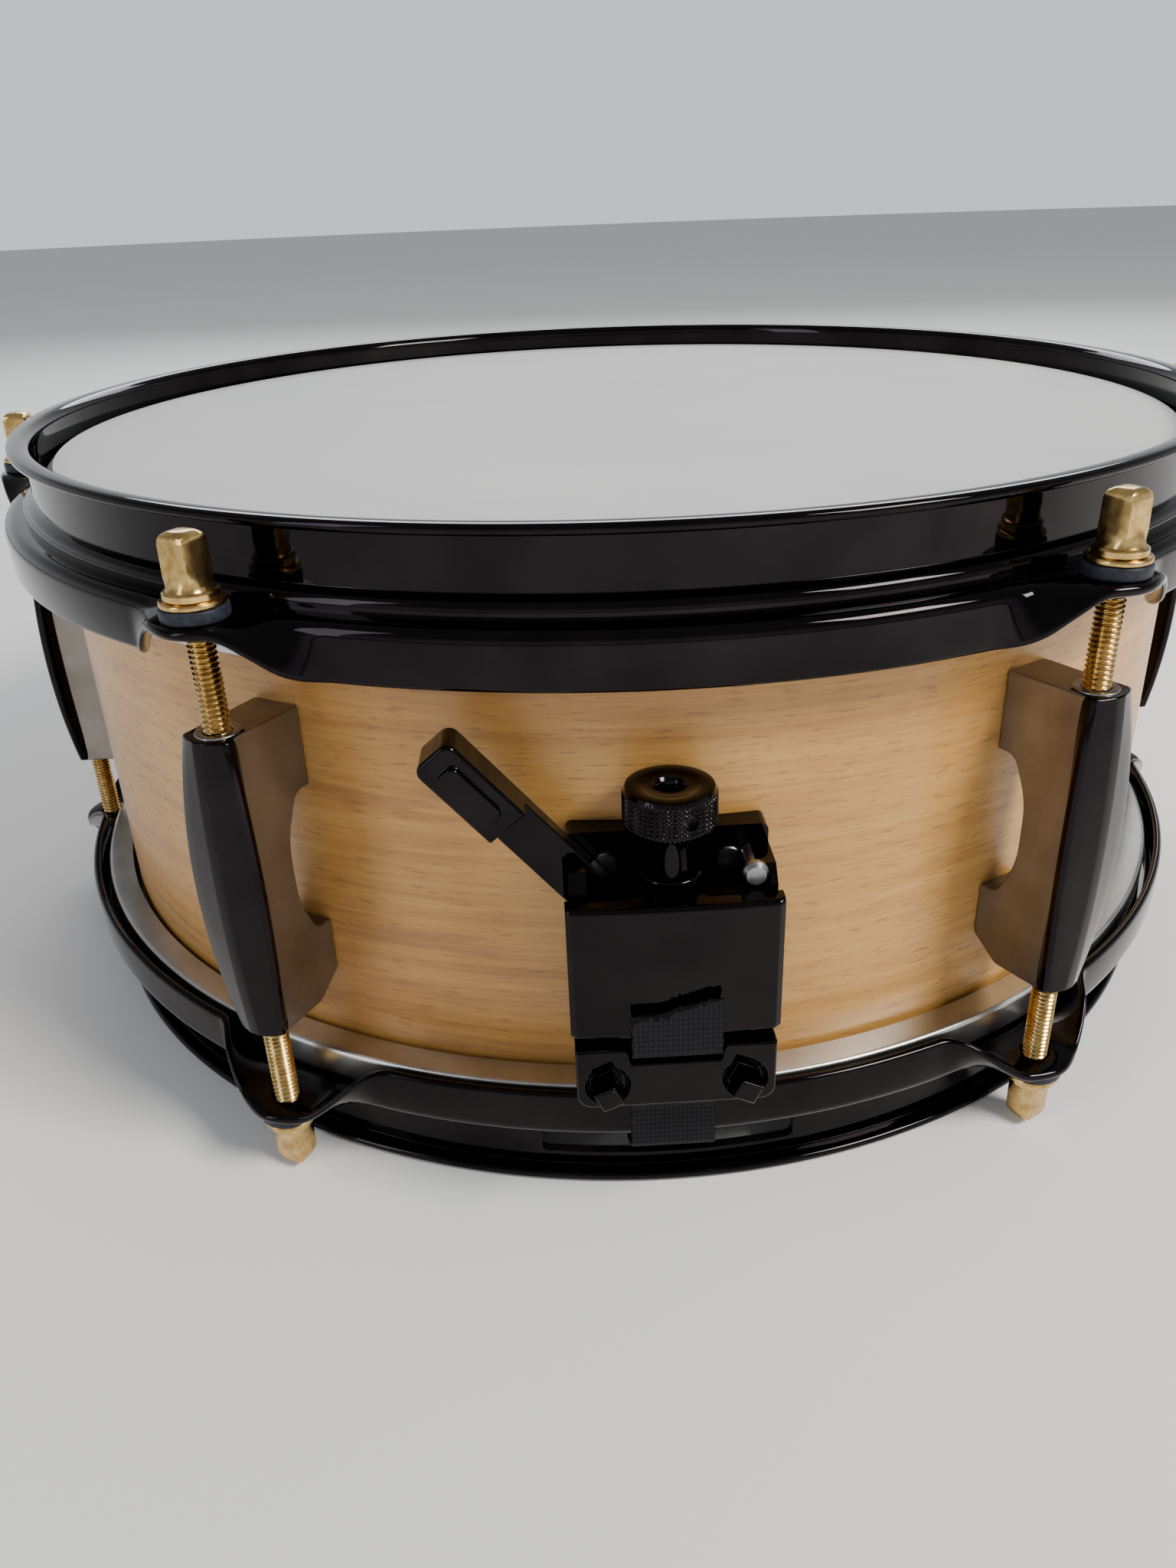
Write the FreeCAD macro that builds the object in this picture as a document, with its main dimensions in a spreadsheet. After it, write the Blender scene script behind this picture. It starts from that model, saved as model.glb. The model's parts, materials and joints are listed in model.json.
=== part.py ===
"""Snare drum, 12 inch: maple shell, two heads, flanged hoops with ears, six bridge lugs,
twelve tension rods, a side-throw strainer, a butt plate and a set of coiled snare wires.

Millimetres, +Z up. The origin is on the drum's axis, in the plane of the lower hoop's rim,
and the strainer faces -Y. Each sub-part is an object with the label of its node, and its
sizes come from the sheet "Sizes".
"""

import FreeCAD
import Part

import math
import os
import re

import Sketcher
from FreeCAD import Placement, Rotation, Vector

# alias: (value in millimetres or degrees, what it is)
SIZES = {
    "drum_height": (147.2, "rim to rim"),
    "shell_radius": (152.0, "outside of the shell, 12 inch size"),
    "shell_wall": (6.0, "maple ply"),
    "edge_height": (7.4, "bearing edge above the rim's plane, at each end"),
    "edge_flat": (2.0, "bearing edge's crest, inwards from the outside"),
    "edge_crest": (0.7, "width of the crest"),
    "film": (0.3, "thickness of a head"),
    "film_gap": (0.15, "between head and shell"),
    "collar_height": (15.5, "head's collar down the outside of the shell"),
    "flesh_inner": (153.0, "flesh hoop"),
    "flesh_outer": (160.0, "flesh hoop"),
    "flesh_top": (19.35, "flesh hoop's upper side, below the rim"),
    "flesh_height": (8.4, "flesh hoop"),
    "hoop_inner": (154.0, "hoop's wall"),
    "hoop_wall": (2.2, "hoop's sheet"),
    "lip_outer": (159.6, "rim's flange"),
    "lip_thick": (2.0, "rim's flange"),
    "step_depth": (14.0, "rim to the step under the wall"),
    "fold_depth": (18.0, "rim to the underside of the fold"),
    "fold_radius": (164.2, "outside of the skirt"),
    "skirt_depth": (28.7, "rim to the skirt's edge"),
    "ear_reach": (14.2, "ear beyond the fold's hinge line"),
    "ear_hole": (3.3, "radius of the rod's hole in an ear"),
    "gate_width": (56.0, "snare gate in the lower hoop"),
    "gate_low": (5.6, "gate's lower edge above the rim"),
    "gate_high": (13.8, "gate's upper edge above the rim"),
    "rod_circle": (168.4, "radius of the rods' circle"),
    "rod_radius": (2.75, "tension rod over its thread"),
    "rod_end": (55.0, "rod's end below the rim"),
    "ear_top": (17.0, "ear's upper face below the rim"),
    "nylon_radius": (6.4, "nylon washer"),
    "nylon_thick": (2.6, "nylon washer"),
    "washer_radius": (6.1, "metal washer"),
    "washer_thick": (1.2, "metal washer"),
    "washer_bore": (2.95, "bore of both washers"),
    "flange_radius": (5.2, "rod's own flange"),
    "flange_thick": (1.6, "rod's own flange"),
    "key_square": (6.4, "rod's square head, across flats"),
    "key_height": (10.6, "square head and its domed foot"),
    "lug_length": (68.0, "lug casing, end to end"),
    "lug_plate": (11.0, "casing's side plate, across"),
    "lug_front": (171.0, "front of the side plate, from the drum's axis"),
    "lug_gap": (8.0, "bridge's clearance from the shell"),
    "lug_arch": (33.0, "height of the bridge's opening"),
    "leaf_end": (5.6, "half width of the front leaf at its ends"),
    "leaf_middle": (9.0, "half width of the front leaf at mid height"),
    "leaf_back": (165.5, "back of the leaf"),
    "leaf_edge": (172.6, "leaf's edge at its ends"),
    "leaf_bulge": (1.6, "how much further out its middle is"),
    "leaf_ridge": (1.5, "ridge above the edges"),
    "insert_radius": (4.5, "threaded insert in a casing"),
    "insert_bore": (2.81, "insert's bore, the rod's running fit"),
    "insert_length": (12.0, "threaded insert"),
    "lug_bore_depth": (22.0, "rod's hole in a casing"),
    "lug_screw_radius": (2.0, "screw through the shell"),
    "lug_screw_reach": (9.0, "screw's end beyond the shell"),
    "lug_screw_height": (25.2, "screw above and below mid height"),
    "screw_head": (4.0, "pan head's radius"),
    "screw_head_thick": (2.6, "pan head"),
    "spring_washer_radius": (4.6, "washer under a pan head"),
    "spring_washer_thick": (1.0, "washer under a pan head"),
    "vent_radius": (5.0, "air vent"),
    "vent_azimuth": (120.0, "where the vent is, from the front towards +X"),
    "base_width": (39.0, "strainer's base"),
    "base_low": (41.0, "strainer's base"),
    "base_high": (87.4, "strainer's base"),
    "base_face": (156.4, "front of the base's back plate"),
    "cheek_thick": (3.4, "base's side wall"),
    "cheek_face": (167.6, "front of the side walls"),
    "chin_face": (164.2, "front of the base under the side walls"),
    "chin_high": (54.0, "where the side walls step back"),
    "cheek_high": (83.5, "side walls"),
    "window_spread": (11.6, "base's windows, from the middle"),
    "window_half": (4.6, "window, half width"),
    "window_low": (67.0, "window"),
    "window_high": (74.0, "window"),
    "base_screw_spread": (12.0, "screws into the shell, from the middle"),
    "base_screw_height": (80.0, "strainer's screws into the shell"),
    "base_screw_radius": (1.65, "strainer's screws into the shell"),
    "base_screw_head": (3.0, "their heads' radius"),
    "butt_screw_height": (60.0, "butt plate's screws into the shell"),
    "butt_screw_radius": (1.9, "butt plate's screws into the shell"),
    "butt_screw_head": (3.6, "their heads' radius"),
    "butt_screw_seat": (158.5, "their heads' seat, from the drum's axis"),
    "stop_screw_x": (15.5, "screw beside the right wall"),
    "stop_screw_height": (82.0, "screw beside the right wall"),
    "stop_screw_seat": (164.9, "its head's seat, from the drum's axis"),
    "pivot_height": (58.0, "lever's pivot"),
    "pivot_radius": (2.2, "pivot pin"),
    "lever_back": (156.8, "lever's plate"),
    "lever_face": (160.8, "lever's plate"),
    "lever_hub": (7.4, "lever's hub, radius"),
    "lever_width": (8.8, "lever's arm"),
    "lever_length": (66.5, "pivot to the lever's tip"),
    "lever_rest": (130.0, "lever's direction at rest, from +X towards +Z"),
    "grip_length": (20.0, "lever's thick end"),
    "grip_face": (165.6, "front of the grip"),
    "crank_radius": (4.2, "crank pin's circle"),
    "crank_pin": (1.2, "crank pin"),
    "crank_swing": (35.0, "crank pin's angle above level at rest"),
    "slide_back": (161.3, "inner slide"),
    "slide_face": (167.2, "inner slide"),
    "slide_low": (54.0, "inner slide"),
    "slide_high": (70.4, "inner slide's shoulders"),
    "slide_half": (15.9, "inner slide, half width"),
    "bridge_low": (76.3, "inner slide's bridge"),
    "bridge_high": (78.4, "inner slide's bridge"),
    "bridge_half": (5.4, "inner slide's bridge, half width"),
    "post_axis": (161.4, "knob's axis from the drum's axis"),
    "post_radius": (2.5, "threaded post"),
    "bush_radius": (6.4, "collar under the knob"),
    "bush_high": (82.0, "collar under the knob"),
    "neck_radius": (5.3, "knob's neck"),
    "knob_radius": (9.0, "knurled knob"),
    "knob_low": (91.2, "knurled knob"),
    "knob_high": (99.4, "knurled knob"),
    "cover_back": (167.9, "strainer's cover"),
    "cover_face": (172.6, "strainer's cover"),
    "cover_low": (50.0, "strainer's cover"),
    "cover_high": (79.5, "strainer's cover"),
    "cover_half": (20.4, "cover, half width"),
    "shelf_half": (3.3, "cover's shelf under the threaded post, half width"),
    "shelf_low": (72.1, "cover's shelf"),
    "shelf_high": (74.7, "cover's shelf"),
    "jaw_low": (34.0, "lower jaw behind the clamp"),
    "jaw_back": (164.6, "lower jaw behind the clamp"),
    "strap_gap": (0.65, "between the jaw and the clamp plate"),
    "clamp_low": (33.2, "clamp plate"),
    "clamp_high": (47.4, "clamp plate"),
    "clamp_back": (168.2, "clamp plate"),
    "clamp_face": (172.2, "clamp plate"),
    "clamp_half": (19.8, "clamp plate, half width"),
    "key_screw_spread": (13.6, "clamp's key screws, from the middle"),
    "key_screw_height": (38.8, "clamp's key screws"),
    "key_screw_radius": (1.55, "clamp's key screws"),
    "key_recess_radius": (4.5, "counterbore round a key screw"),
    "key_recess_depth": (2.6, "counterbore round a key screw"),
    "strap_half": (8.75, "snare strap, half width"),
    "strap_thick": (0.6, "snare strap"),
    "wire_height": (5.6, "centre of the snare coils"),
    "wire_radius": (1.05, "a snare coil's outside"),
    "wire_pitch": (2.2, "between the coils' centres"),
    "wire_half_length": (118.0, "coils, from the middle"),
    "plate_half_width": (24.0, "snare end plate"),
    "plate_length": (17.0, "snare end plate"),
    "plate_thick": (0.8, "snare end plate"),
}

LUG_AZIMUTHS = [-30, 30, 90, 150, -150, -90]
COILS = 20

doc = FreeCAD.newDocument("snare_drum")
sheet = doc.addObject("Spreadsheet::Sheet", "Sizes")
for row, (alias, (value, words)) in enumerate(SIZES.items(), start=1):
    sheet.set(f"A{row}", words)
    sheet.set(f"B{row}", str(value))
    sheet.setAlias(f"B{row}", alias)
doc.recompute()

nodes = []


def size(alias):
    """A sheet value as a number, for the solids that are worked out in code."""
    return float(sheet.get(alias))


def cells(text):
    """An expression with each alias written as a reference to the sheet."""
    return re.sub(r"[a-z_]+", lambda m: f"Sizes.{m[0]}" if m[0] in SIZES else m[0], text)


def number(text):
    """What an expression on the sheet comes to."""
    return float(sheet.evalExpression(cells(text)))


def bind(item, prop, text):
    """Give a property a first value and tie it to the sheet."""
    item.setExpression(prop, cells(text))


# ---------------------------------------------------------------- bodies and features


def body(label):
    made = doc.addObject("PartDesign::Body", label)
    made.Label = label
    nodes.append(made)
    return made


def sketch(owner, plane, offset="0"):
    """An empty sketch on one of the body's own planes, moved along the plane's normal."""
    made = owner.newObject("Sketcher::SketchObject", "Sketch")
    support = [f for f in owner.Origin.OriginFeatures if f.Role == plane]
    made.AttachmentSupport = [(support[0], "")]
    made.MapMode = "FlatFace"
    made.AttachmentOffset = Placement(Vector(0, 0, number(offset)), Rotation())
    made.setExpression("AttachmentOffset.Base.z", cells(offset))
    return made


def outline(owner, plane, points, offset="0"):
    """A closed polygon whose corners' coordinates are expressions on the sheet."""
    made = sketch(owner, plane, offset)
    corners = [Vector(number(x), number(y), 0) for x, y in points]
    count = len(corners)
    for i in range(count):
        made.addGeometry(Part.LineSegment(corners[i], corners[(i + 1) % count]), False)
    for i in range(count):
        made.addConstraint(Sketcher.Constraint("Coincident", i, 2, (i + 1) % count, 1))
    for i, (x, y) in enumerate(points):
        for kind, text in (("DistanceX", x), ("DistanceY", y)):
            at = made.addConstraint(Sketcher.Constraint(kind, -1, 1, i, 1, number(text)))
            made.setExpression(f"Constraints[{at}]", cells(text))
    return made


def circle(owner, plane, x, y, radius, offset="0"):
    """One circle, placed and sized by expressions."""
    made = sketch(owner, plane, offset)
    made.addGeometry(Part.Circle(Vector(number(x), number(y), 0), Vector(0, 0, 1), number(radius)), False)
    for kind, text in (("DistanceX", x), ("DistanceY", y)):
        at = made.addConstraint(Sketcher.Constraint(kind, -1, 1, 0, 3, number(text)))
        made.setExpression(f"Constraints[{at}]", cells(text))
    at = made.addConstraint(Sketcher.Constraint("Radius", 0, number(radius)))
    made.setExpression(f"Constraints[{at}]", cells(radius))
    return made


def pad(owner, profile, length, middle=False, subtract=False, reverse=False):
    """A Pad, or with subtract a Pocket, of a sketch."""
    kind = "PartDesign::Pocket" if subtract else "PartDesign::Pad"
    made = owner.newObject(kind, kind[12:])
    made.Profile = profile
    made.Length = number(length)
    bind(made, "Length", length)
    made.Midplane = middle
    made.Reversed = reverse
    return made


def drill(owner, x, z, radius, azimuth):
    """A hole from the drum's axis outwards, at x and z on the side that faces the azimuth."""
    hole = circle(owner, "XZ_Plane", x, z, radius)
    hole.setExpression("AttachmentOffset.Base.z", None)
    hole.AttachmentOffset = Placement(Vector(0, 0, 0), Rotation(Vector(0, 1, 0), azimuth))
    return pad(owner, hole, "shell_radius + 5", subtract=True, reverse=True)


def turned(owner, profile, axis="V_Axis", subtract=False):
    """A Revolution or a Groove about one of the sketch's axes."""
    kind = "PartDesign::Groove" if subtract else "PartDesign::Revolution"
    made = owner.newObject(kind, kind[12:])
    made.Profile = profile
    made.ReferenceAxis = (profile, [axis])
    made.Angle = 360
    return made


def round_edges(owner, radius, wanted, cut=False):
    """Fillet, or with cut chamfer, the tip's edges for which wanted(edge) is true."""
    doc.recompute()
    tip = owner.Tip
    names = [f"Edge{i}" for i, e in enumerate(tip.Shape.Edges, start=1) if wanted(e)]
    kind = "PartDesign::Chamfer" if cut else "PartDesign::Fillet"
    made = owner.newObject(kind, kind[12:])
    made.Base = (tip, names)
    if cut:
        made.Size = radius
    else:
        made.Radius = radius
    return made


def solid_node(label, shape):
    """A node whose shape is worked out in code."""
    made = doc.addObject("Part::Feature", label)
    made.Label = label
    made.Shape = shape
    nodes.append(made)
    return made


def turn_about_axis(item, azimuth):
    """Turn a piece made at the front, facing -Y, to its azimuth on the drum."""
    item.Placement = Placement(Vector(0, 0, 0), Rotation(Vector(0, 0, 1), azimuth))


def upside_down(item):
    """Turn a piece made for the upper end over, for the lower end."""
    item.Placement = Placement(Vector(0, 0, size("drum_height")), Rotation(Vector(1, 0, 0), 180))


def is_level(edge, z):
    box = edge.BoundBox
    return abs(box.ZMin - z) < 1e-4 and abs(box.ZMax - z) < 1e-4


def faces_out(edge, distance):
    """True for an edge that lies in the plane y = -distance."""
    box = edge.BoundBox
    return abs(box.YMin + distance) < 1e-4 and abs(box.YMax + distance) < 1e-4


def along_radius(edge):
    """True for a straight edge along Y."""
    box = edge.BoundBox
    return box.YLength > 1.0 and box.XLength < 1e-4 and box.ZLength < 1e-4


def cylinder(radius, start, direction, length):
    return Part.makeCylinder(radius, length, start, direction)


def at_azimuth(shape, azimuth):
    turned_shape = shape.copy()
    turned_shape.rotate(Vector(0, 0, 0), Vector(0, 0, 1), azimuth)
    return turned_shape


def mirrored(shape):
    """The same solid at the drum's other end."""
    flat = shape.copy()
    flat.rotate(Vector(0, 0, size("drum_height") / 2), Vector(0, 1, 0), 180)
    return flat


# ---------------------------------------------------------------- shell and heads


def make_shell():
    """A ring with a 45 degree bearing edge at each end, drilled for the hardware."""
    shell = body("shell")
    inner = "shell_radius - shell_wall"
    crest = "shell_radius - edge_flat"
    crest_in = f"{crest} - edge_crest"
    bevel = "shell_wall - edge_flat - edge_crest"
    low = "edge_height"
    high = "drum_height - edge_height"
    points = [
        (inner, f"{low} + {bevel}"),
        (crest_in, low),
        (crest, low),
        ("shell_radius", f"{low} + edge_flat"),
        ("shell_radius", f"{high} - edge_flat"),
        (crest, high),
        (crest_in, high),
        (inner, f"{high} - ({bevel})"),
    ]
    turned(shell, outline(shell, "XZ_Plane", points))
    for up in ("drum_height / 2 + lug_screw_height", "drum_height / 2 - lug_screw_height"):
        drilled = drill(shell, "0", up, "lug_screw_radius + 0.1", LUG_AZIMUTHS[1])
        around = shell.newObject("PartDesign::PolarPattern", "Around")
        around.Originals = [drilled]
        turn = [f for f in shell.Origin.OriginFeatures if f.Role == "Z_Axis"]
        around.Axis = (turn[0], [""])
        around.Occurrences = len(LUG_AZIMUTHS)
        around.Angle = 360
        shell.Tip = around
    drill(shell, "0", "drum_height / 2", "vent_radius + 0.95", size("vent_azimuth"))
    for side in ("-base_screw_spread", "base_screw_spread"):
        drill(shell, side, "base_screw_height", "base_screw_radius + 0.1", 0)
        drill(shell, side, "butt_screw_height", "butt_screw_radius + 0.1", 180)


def make_head(prefix, under):
    """A film with its collar, and the flesh hoop that holds the collar's edge."""
    film = body(f"{prefix}_head")
    face = "drum_height - edge_height + film_gap"
    bend = "shell_radius - edge_flat + film_gap"
    side = "shell_radius + film_gap"
    hem = f"{face} - collar_height"
    points = [
        ("0", face),
        (bend, face),
        (side, f"{face} - edge_flat"),
        (side, hem),
        (f"{side} + film", hem),
        (f"{side} + film", f"{face} - edge_flat + film * 0.4"),
        (f"{bend} + film * 0.4", f"{face} + film"),
        ("0", f"{face} + film"),
    ]
    turned(film, outline(film, "XZ_Plane", points))
    ring = body(f"{prefix}_flesh_hoop")
    top = "drum_height - flesh_top"
    bottom = f"{top} - flesh_height"
    points = [
        ("flesh_inner", bottom),
        ("flesh_outer - 1.5", bottom),
        ("flesh_outer", f"{bottom} + 1.5"),
        ("flesh_outer", f"{top} - 1.5"),
        ("flesh_outer - 1.5", top),
        ("flesh_inner", top),
    ]
    turned(ring, outline(ring, "XZ_Plane", points))
    if under:
        upside_down(film)
        upside_down(ring)


# ---------------------------------------------------------------- hoops


def flange_section(azimuth, hang, reach):
    """The flange's strip at one azimuth: it starts inside the step and hangs from the fold's
    hinge line at the angle hang, 0 for level and 90 for straight down."""
    thick = size("hoop_wall")
    hinge = Vector(size("fold_radius") - thick, 0, size("drum_height") - size("ear_top") - thick)
    bend = math.radians(hang)
    out = Vector(math.cos(bend), 0, -math.sin(bend))
    normal = Vector(math.sin(bend), 0, math.cos(bend))
    middle = math.radians(hang / 2)
    elbow = Vector(math.sin(middle), 0, math.cos(middle)) * (thick / math.cos(middle))
    inner = Vector(size("hoop_inner") + 1.5, 0, hinge.z)
    lift = Vector(0, 0, thick)
    tip = hinge + out * reach
    ring = [inner, hinge, tip, tip + normal * thick, hinge + elbow, inner + lift]
    wire = Part.makePolygon(ring + [inner])
    wire.rotate(Vector(0, 0, 0), Vector(0, 0, 1), azimuth - 90)
    return wire


def hang_angle(offset):
    """How far the flange hangs, by degrees of azimuth from the rod: level at the ear, and
    straight down from 9 degrees on, by a smooth S curve."""
    start, end = 2.2, 8.6
    share = min(1.0, max(0.0, (abs(offset) - start) / (end - start)))
    return 90 * share * share * (3 - 2 * share)


def flange_reach(offset):
    """The strip's length: the ear is rounded, and the skirt keeps its depth."""
    skirt = size("skirt_depth") - size("ear_top") - size("hoop_wall")
    ear = size("ear_reach")
    share = min(1.0, abs(offset) / 5.2)
    return ear + (skirt - ear) * share * share * (3 - 2 * share)


def make_hoop(label, gates):
    """The rim, wall, step and folded skirt, with six ears that grow out of the skirt."""
    top = size("drum_height")
    inner, wall = size("hoop_inner"), size("hoop_wall")
    lip, thick = size("lip_outer"), size("lip_thick")
    step = top - size("step_depth")
    shelf = top - size("ear_top")
    profile = [
        (inner, top),
        (lip, top),
        (lip, top - thick),
        (inner + wall + 0.6, top - thick - 0.3),
        (inner + wall, top - thick - 1.0),
        (inner + wall, step + 0.8),
        (inner + wall + 0.8, step),
        (inner + wall + 2.4, step - 0.4),
        (inner + wall + 2.8, step - 1.2),
        (inner + wall + 2.8, shelf - wall),
        (inner, shelf - wall),
    ]
    wire = Part.makePolygon([Vector(r, 0, z) for r, z in profile + profile[:1]])
    ring = Part.Face(wire).revolve(Vector(0, 0, 0), Vector(0, 0, 1), 360)
    sharp = [e for e in ring.Edges if is_level(e, top)]
    ring = ring.makeFillet(0.7, sharp)
    pieces = []
    span = 12.0
    half = [span, 8.6, 7.2, 6.0, 5.0, 4.0, 2.8, 1.4]
    offsets = [-o for o in half] + [0] + half[::-1]
    sections = [flange_section(o, hang_angle(o), flange_reach(o)) for o in offsets]
    ear = Part.makeLoft(sections, True, True)
    skirt_wire = flange_section(span, 90, flange_reach(span))
    skirt = Part.Face(skirt_wire).revolve(Vector(0, 0, 0), Vector(0, 0, 1), 60 - 2 * span)
    for azimuth in LUG_AZIMUTHS:
        pieces.append(at_azimuth(ear, azimuth))
        pieces.append(at_azimuth(skirt, azimuth))
    hoop = ring.multiFuse(pieces)
    hole = cylinder(size("ear_hole"), Vector(0, -size("rod_circle"), shelf - 10), Vector(0, 0, 1), 20)
    hoop = hoop.cut([at_azimuth(hole, a) for a in LUG_AZIMUTHS])
    if gates:
        width = size("gate_width")
        low, high = top - size("gate_low"), top - size("gate_high")
        slot = Part.makeBox(width, 340, low - high, Vector(-width / 2, -170, high))
        keep = cylinder(size("hoop_inner") + wall + 0.4, Vector(0, 0, 0), Vector(0, 0, 1), 200)
        hoop = hoop.cut(slot.common(keep))
    made = solid_node(label, hoop.removeSplitter())
    if gates:
        upside_down(made)
    return made


make_shell()
make_head("batter", False)
make_head("snare", True)
make_hoop("batter_hoop", False)
make_hoop("snare_hoop", True)


# ---------------------------------------------------------------- lugs and tension rods


def make_lug(label, azimuth):
    """A bridge casting: it touches the shell with a pad at each end, and carries a ridged
    leaf on its front. The rods' inserts sit in its ends."""
    lug = body(label)
    end_high = "drum_height / 2 + lug_length / 2"
    end_low = "drum_height / 2 - lug_length / 2"
    arch_high = "drum_height / 2 + lug_arch / 2"
    arch_low = "drum_height / 2 - lug_arch / 2"
    pad_face = "-(shell_radius - 1)"
    arch_face = "-(shell_radius + lug_gap)"
    side = [
        (pad_face, f"{end_low} + 3.5"),
        ("-(shell_radius + 8)", end_low),
        ("-lug_front", end_low),
        ("-lug_front", end_high),
        (pad_face, end_high),
        (pad_face, arch_high),
        (f"{arch_face} + 3.5", f"{arch_high} - 1.5"),
        (f"{arch_face} + 0.6", f"{arch_high} - 5"),
        (arch_face, f"{arch_high} - 9"),
        (arch_face, f"{arch_low} + 9"),
        (f"{arch_face} + 0.6", f"{arch_low} + 5"),
        (f"{arch_face} + 3.5", f"{arch_low} + 1.5"),
        (pad_face, arch_low),
    ]
    pad(lug, outline(lug, "YZ_Plane", side), "lug_plate", middle=True)
    levels = [0, 0.5, 1, 1.5, 2]
    sections = []
    for level in levels:
        height = f"{end_low} + lug_length * {level / 2}"
        swell = 1 - (level - 1) ** 2
        half = f"leaf_end + (leaf_middle - leaf_end) * {swell}"
        front = f"leaf_edge + leaf_bulge * {swell}"
        ridge = f"{front} + leaf_ridge"
        points = [
            ("-(lug_plate / 2 - 0.5)", "-leaf_back"),
            (f"-({half})", f"-({front} - 2.5)"),
            (f"-({half}) + 0.6", f"-({front})"),
            ("0", f"-({ridge})"),
            (f"({half}) - 0.6", f"-({front})"),
            (half, f"-({front} - 2.5)"),
            ("lug_plate / 2 - 0.5", "-leaf_back"),
        ]
        sections.append(outline(lug, "XY_Plane", points, offset=height))
    leaf = lug.newObject("PartDesign::AdditiveLoft", "Leaf")
    leaf.Profile = sections[0]
    leaf.Sections = sections[1:]
    seat = circle(lug, "XY_Plane", "0", "0", "shell_radius + 0.05")
    pad(lug, seat, "200", subtract=True, reverse=True)
    for height, reverse in ((end_high, False), (end_low, True)):
        pocket = circle(lug, "XY_Plane", "0", "-rod_circle", "insert_radius", offset=height)
        pad(lug, pocket, "insert_length + 0.2", subtract=True, reverse=reverse)
        bore = circle(lug, "XY_Plane", "0", "-rod_circle", "rod_radius + 0.4", offset=height)
        pad(lug, bore, "lug_bore_depth", subtract=True, reverse=reverse)
    for height in ("drum_height / 2 + lug_screw_height", "drum_height / 2 - lug_screw_height"):
        hole = circle(lug, "XZ_Plane", "0", height, "lug_screw_radius + 0.05", offset="shell_radius - 5")
        pad(lug, hole, "lug_screw_reach + 5.3", subtract=True, reverse=True)
    turn_about_axis(lug, azimuth)


def rod_profile():
    """A tension rod for the upper hoop: shank, own flange and domed foot of the head."""
    seat = "drum_height - ear_top + nylon_thick + washer_thick + 0.02"
    flange = f"{seat} + flange_thick"
    return [
        ("0", "drum_height - rod_end"),
        ("rod_radius - 0.5", "drum_height - rod_end"),
        ("rod_radius", "drum_height - rod_end + 1"),
        ("rod_radius", seat),
        ("flange_radius - 0.4", seat),
        ("flange_radius", f"{seat} + 0.4"),
        ("flange_radius", f"{flange} - 0.4"),
        ("flange_radius - 0.6", flange),
        ("key_square / 2 + 0.9", f"{flange} + 0.5"),
        ("key_square / 2", f"{flange} + 1.6"),
        ("0", f"{flange} + 1.6"),
    ]


def make_rod(label, azimuth, under):
    """A tension rod with its square key head."""
    rod = body(label)
    turned(rod, outline(rod, "XZ_Plane", rod_profile()))
    foot = "drum_height - ear_top + nylon_thick + washer_thick + flange_thick"
    half = "key_square / 2"
    corner = "key_square / 2 - 0.7"
    square = [
        (f"-({half})", f"-({corner})"),
        (f"-({corner})", f"-({half})"),
        (corner, f"-({half})"),
        (half, f"-({corner})"),
        (half, corner),
        (corner, half),
        (f"-({corner})", half),
        (f"-({half})", corner),
    ]
    pad(rod, outline(rod, "XY_Plane", square, offset=foot), "key_height")
    doc.recompute()
    top = rod.Tip.Shape.BoundBox.ZMax
    round_edges(rod, 0.9, lambda e: is_level(e, top), cut=True)
    where = Vector(0, -size("rod_circle"), 0)
    stand = Placement(where, Rotation())
    if under:
        over = Placement(Vector(0, 0, size("drum_height")), Rotation(Vector(0, 1, 0), 180))
        stand = Placement(where, Rotation()).multiply(over)
    around = Placement(Vector(0, 0, 0), Rotation(Vector(0, 0, 1), azimuth))
    rod.Placement = around.multiply(stand)


def ring_between(radius, bore, base, height, at):
    """A washer or bush standing on a point, with its axis along Z."""
    outer = cylinder(radius, at + Vector(0, 0, base), Vector(0, 0, 1), height)
    return outer.cut(cylinder(bore, at + Vector(0, 0, base - 1), Vector(0, 0, 1), height + 2))


def at_all_rods(shape):
    """The same piece at all twelve rods, for a piece made at the front upper rod."""
    both = [shape, mirrored(shape)]
    return Part.makeCompound([at_azimuth(s, a) for a in LUG_AZIMUTHS for s in both])


def make_rod_hardware():
    """Washers under the rods' heads, and the threaded inserts in the lugs' ends."""
    at = Vector(0, -size("rod_circle"), 0)
    ear = size("drum_height") - size("ear_top")
    bore = size("washer_bore")
    nylon = ring_between(size("nylon_radius"), bore, ear + 0.01, size("nylon_thick") - 0.01, at)
    base = ear + size("nylon_thick") + 0.01
    washer = ring_between(size("washer_radius"), bore, base, size("washer_thick") - 0.01, at)
    solid_node("rod_nylon_washers", at_all_rods(nylon))
    solid_node("rod_metal_washers", at_all_rods(washer))
    end = size("drum_height") / 2 + size("lug_length") / 2
    length = size("insert_length")
    insert = ring_between(size("insert_radius") - 0.03, size("insert_bore"), end - length, length + 0.3, at)
    solid_node("lug_inserts", at_all_rods(insert))


def screw(head, head_thick, shank, length):
    """A pan head screw along -Y, its head's underside at y = 0, as one turned profile."""
    profile = [
        (0, -length),
        (shank, -length),
        (shank, 0),
        (head, 0),
        (head, head_thick * 0.5),
        (head * 0.75, head_thick),
        (0, head_thick),
    ]
    wire = Part.makePolygon([Vector(r, y, 0) for r, y in profile + profile[:1]])
    return Part.Face(wire).revolve(Vector(0, 0, 0), Vector(0, 1, 0), 360)


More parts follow.
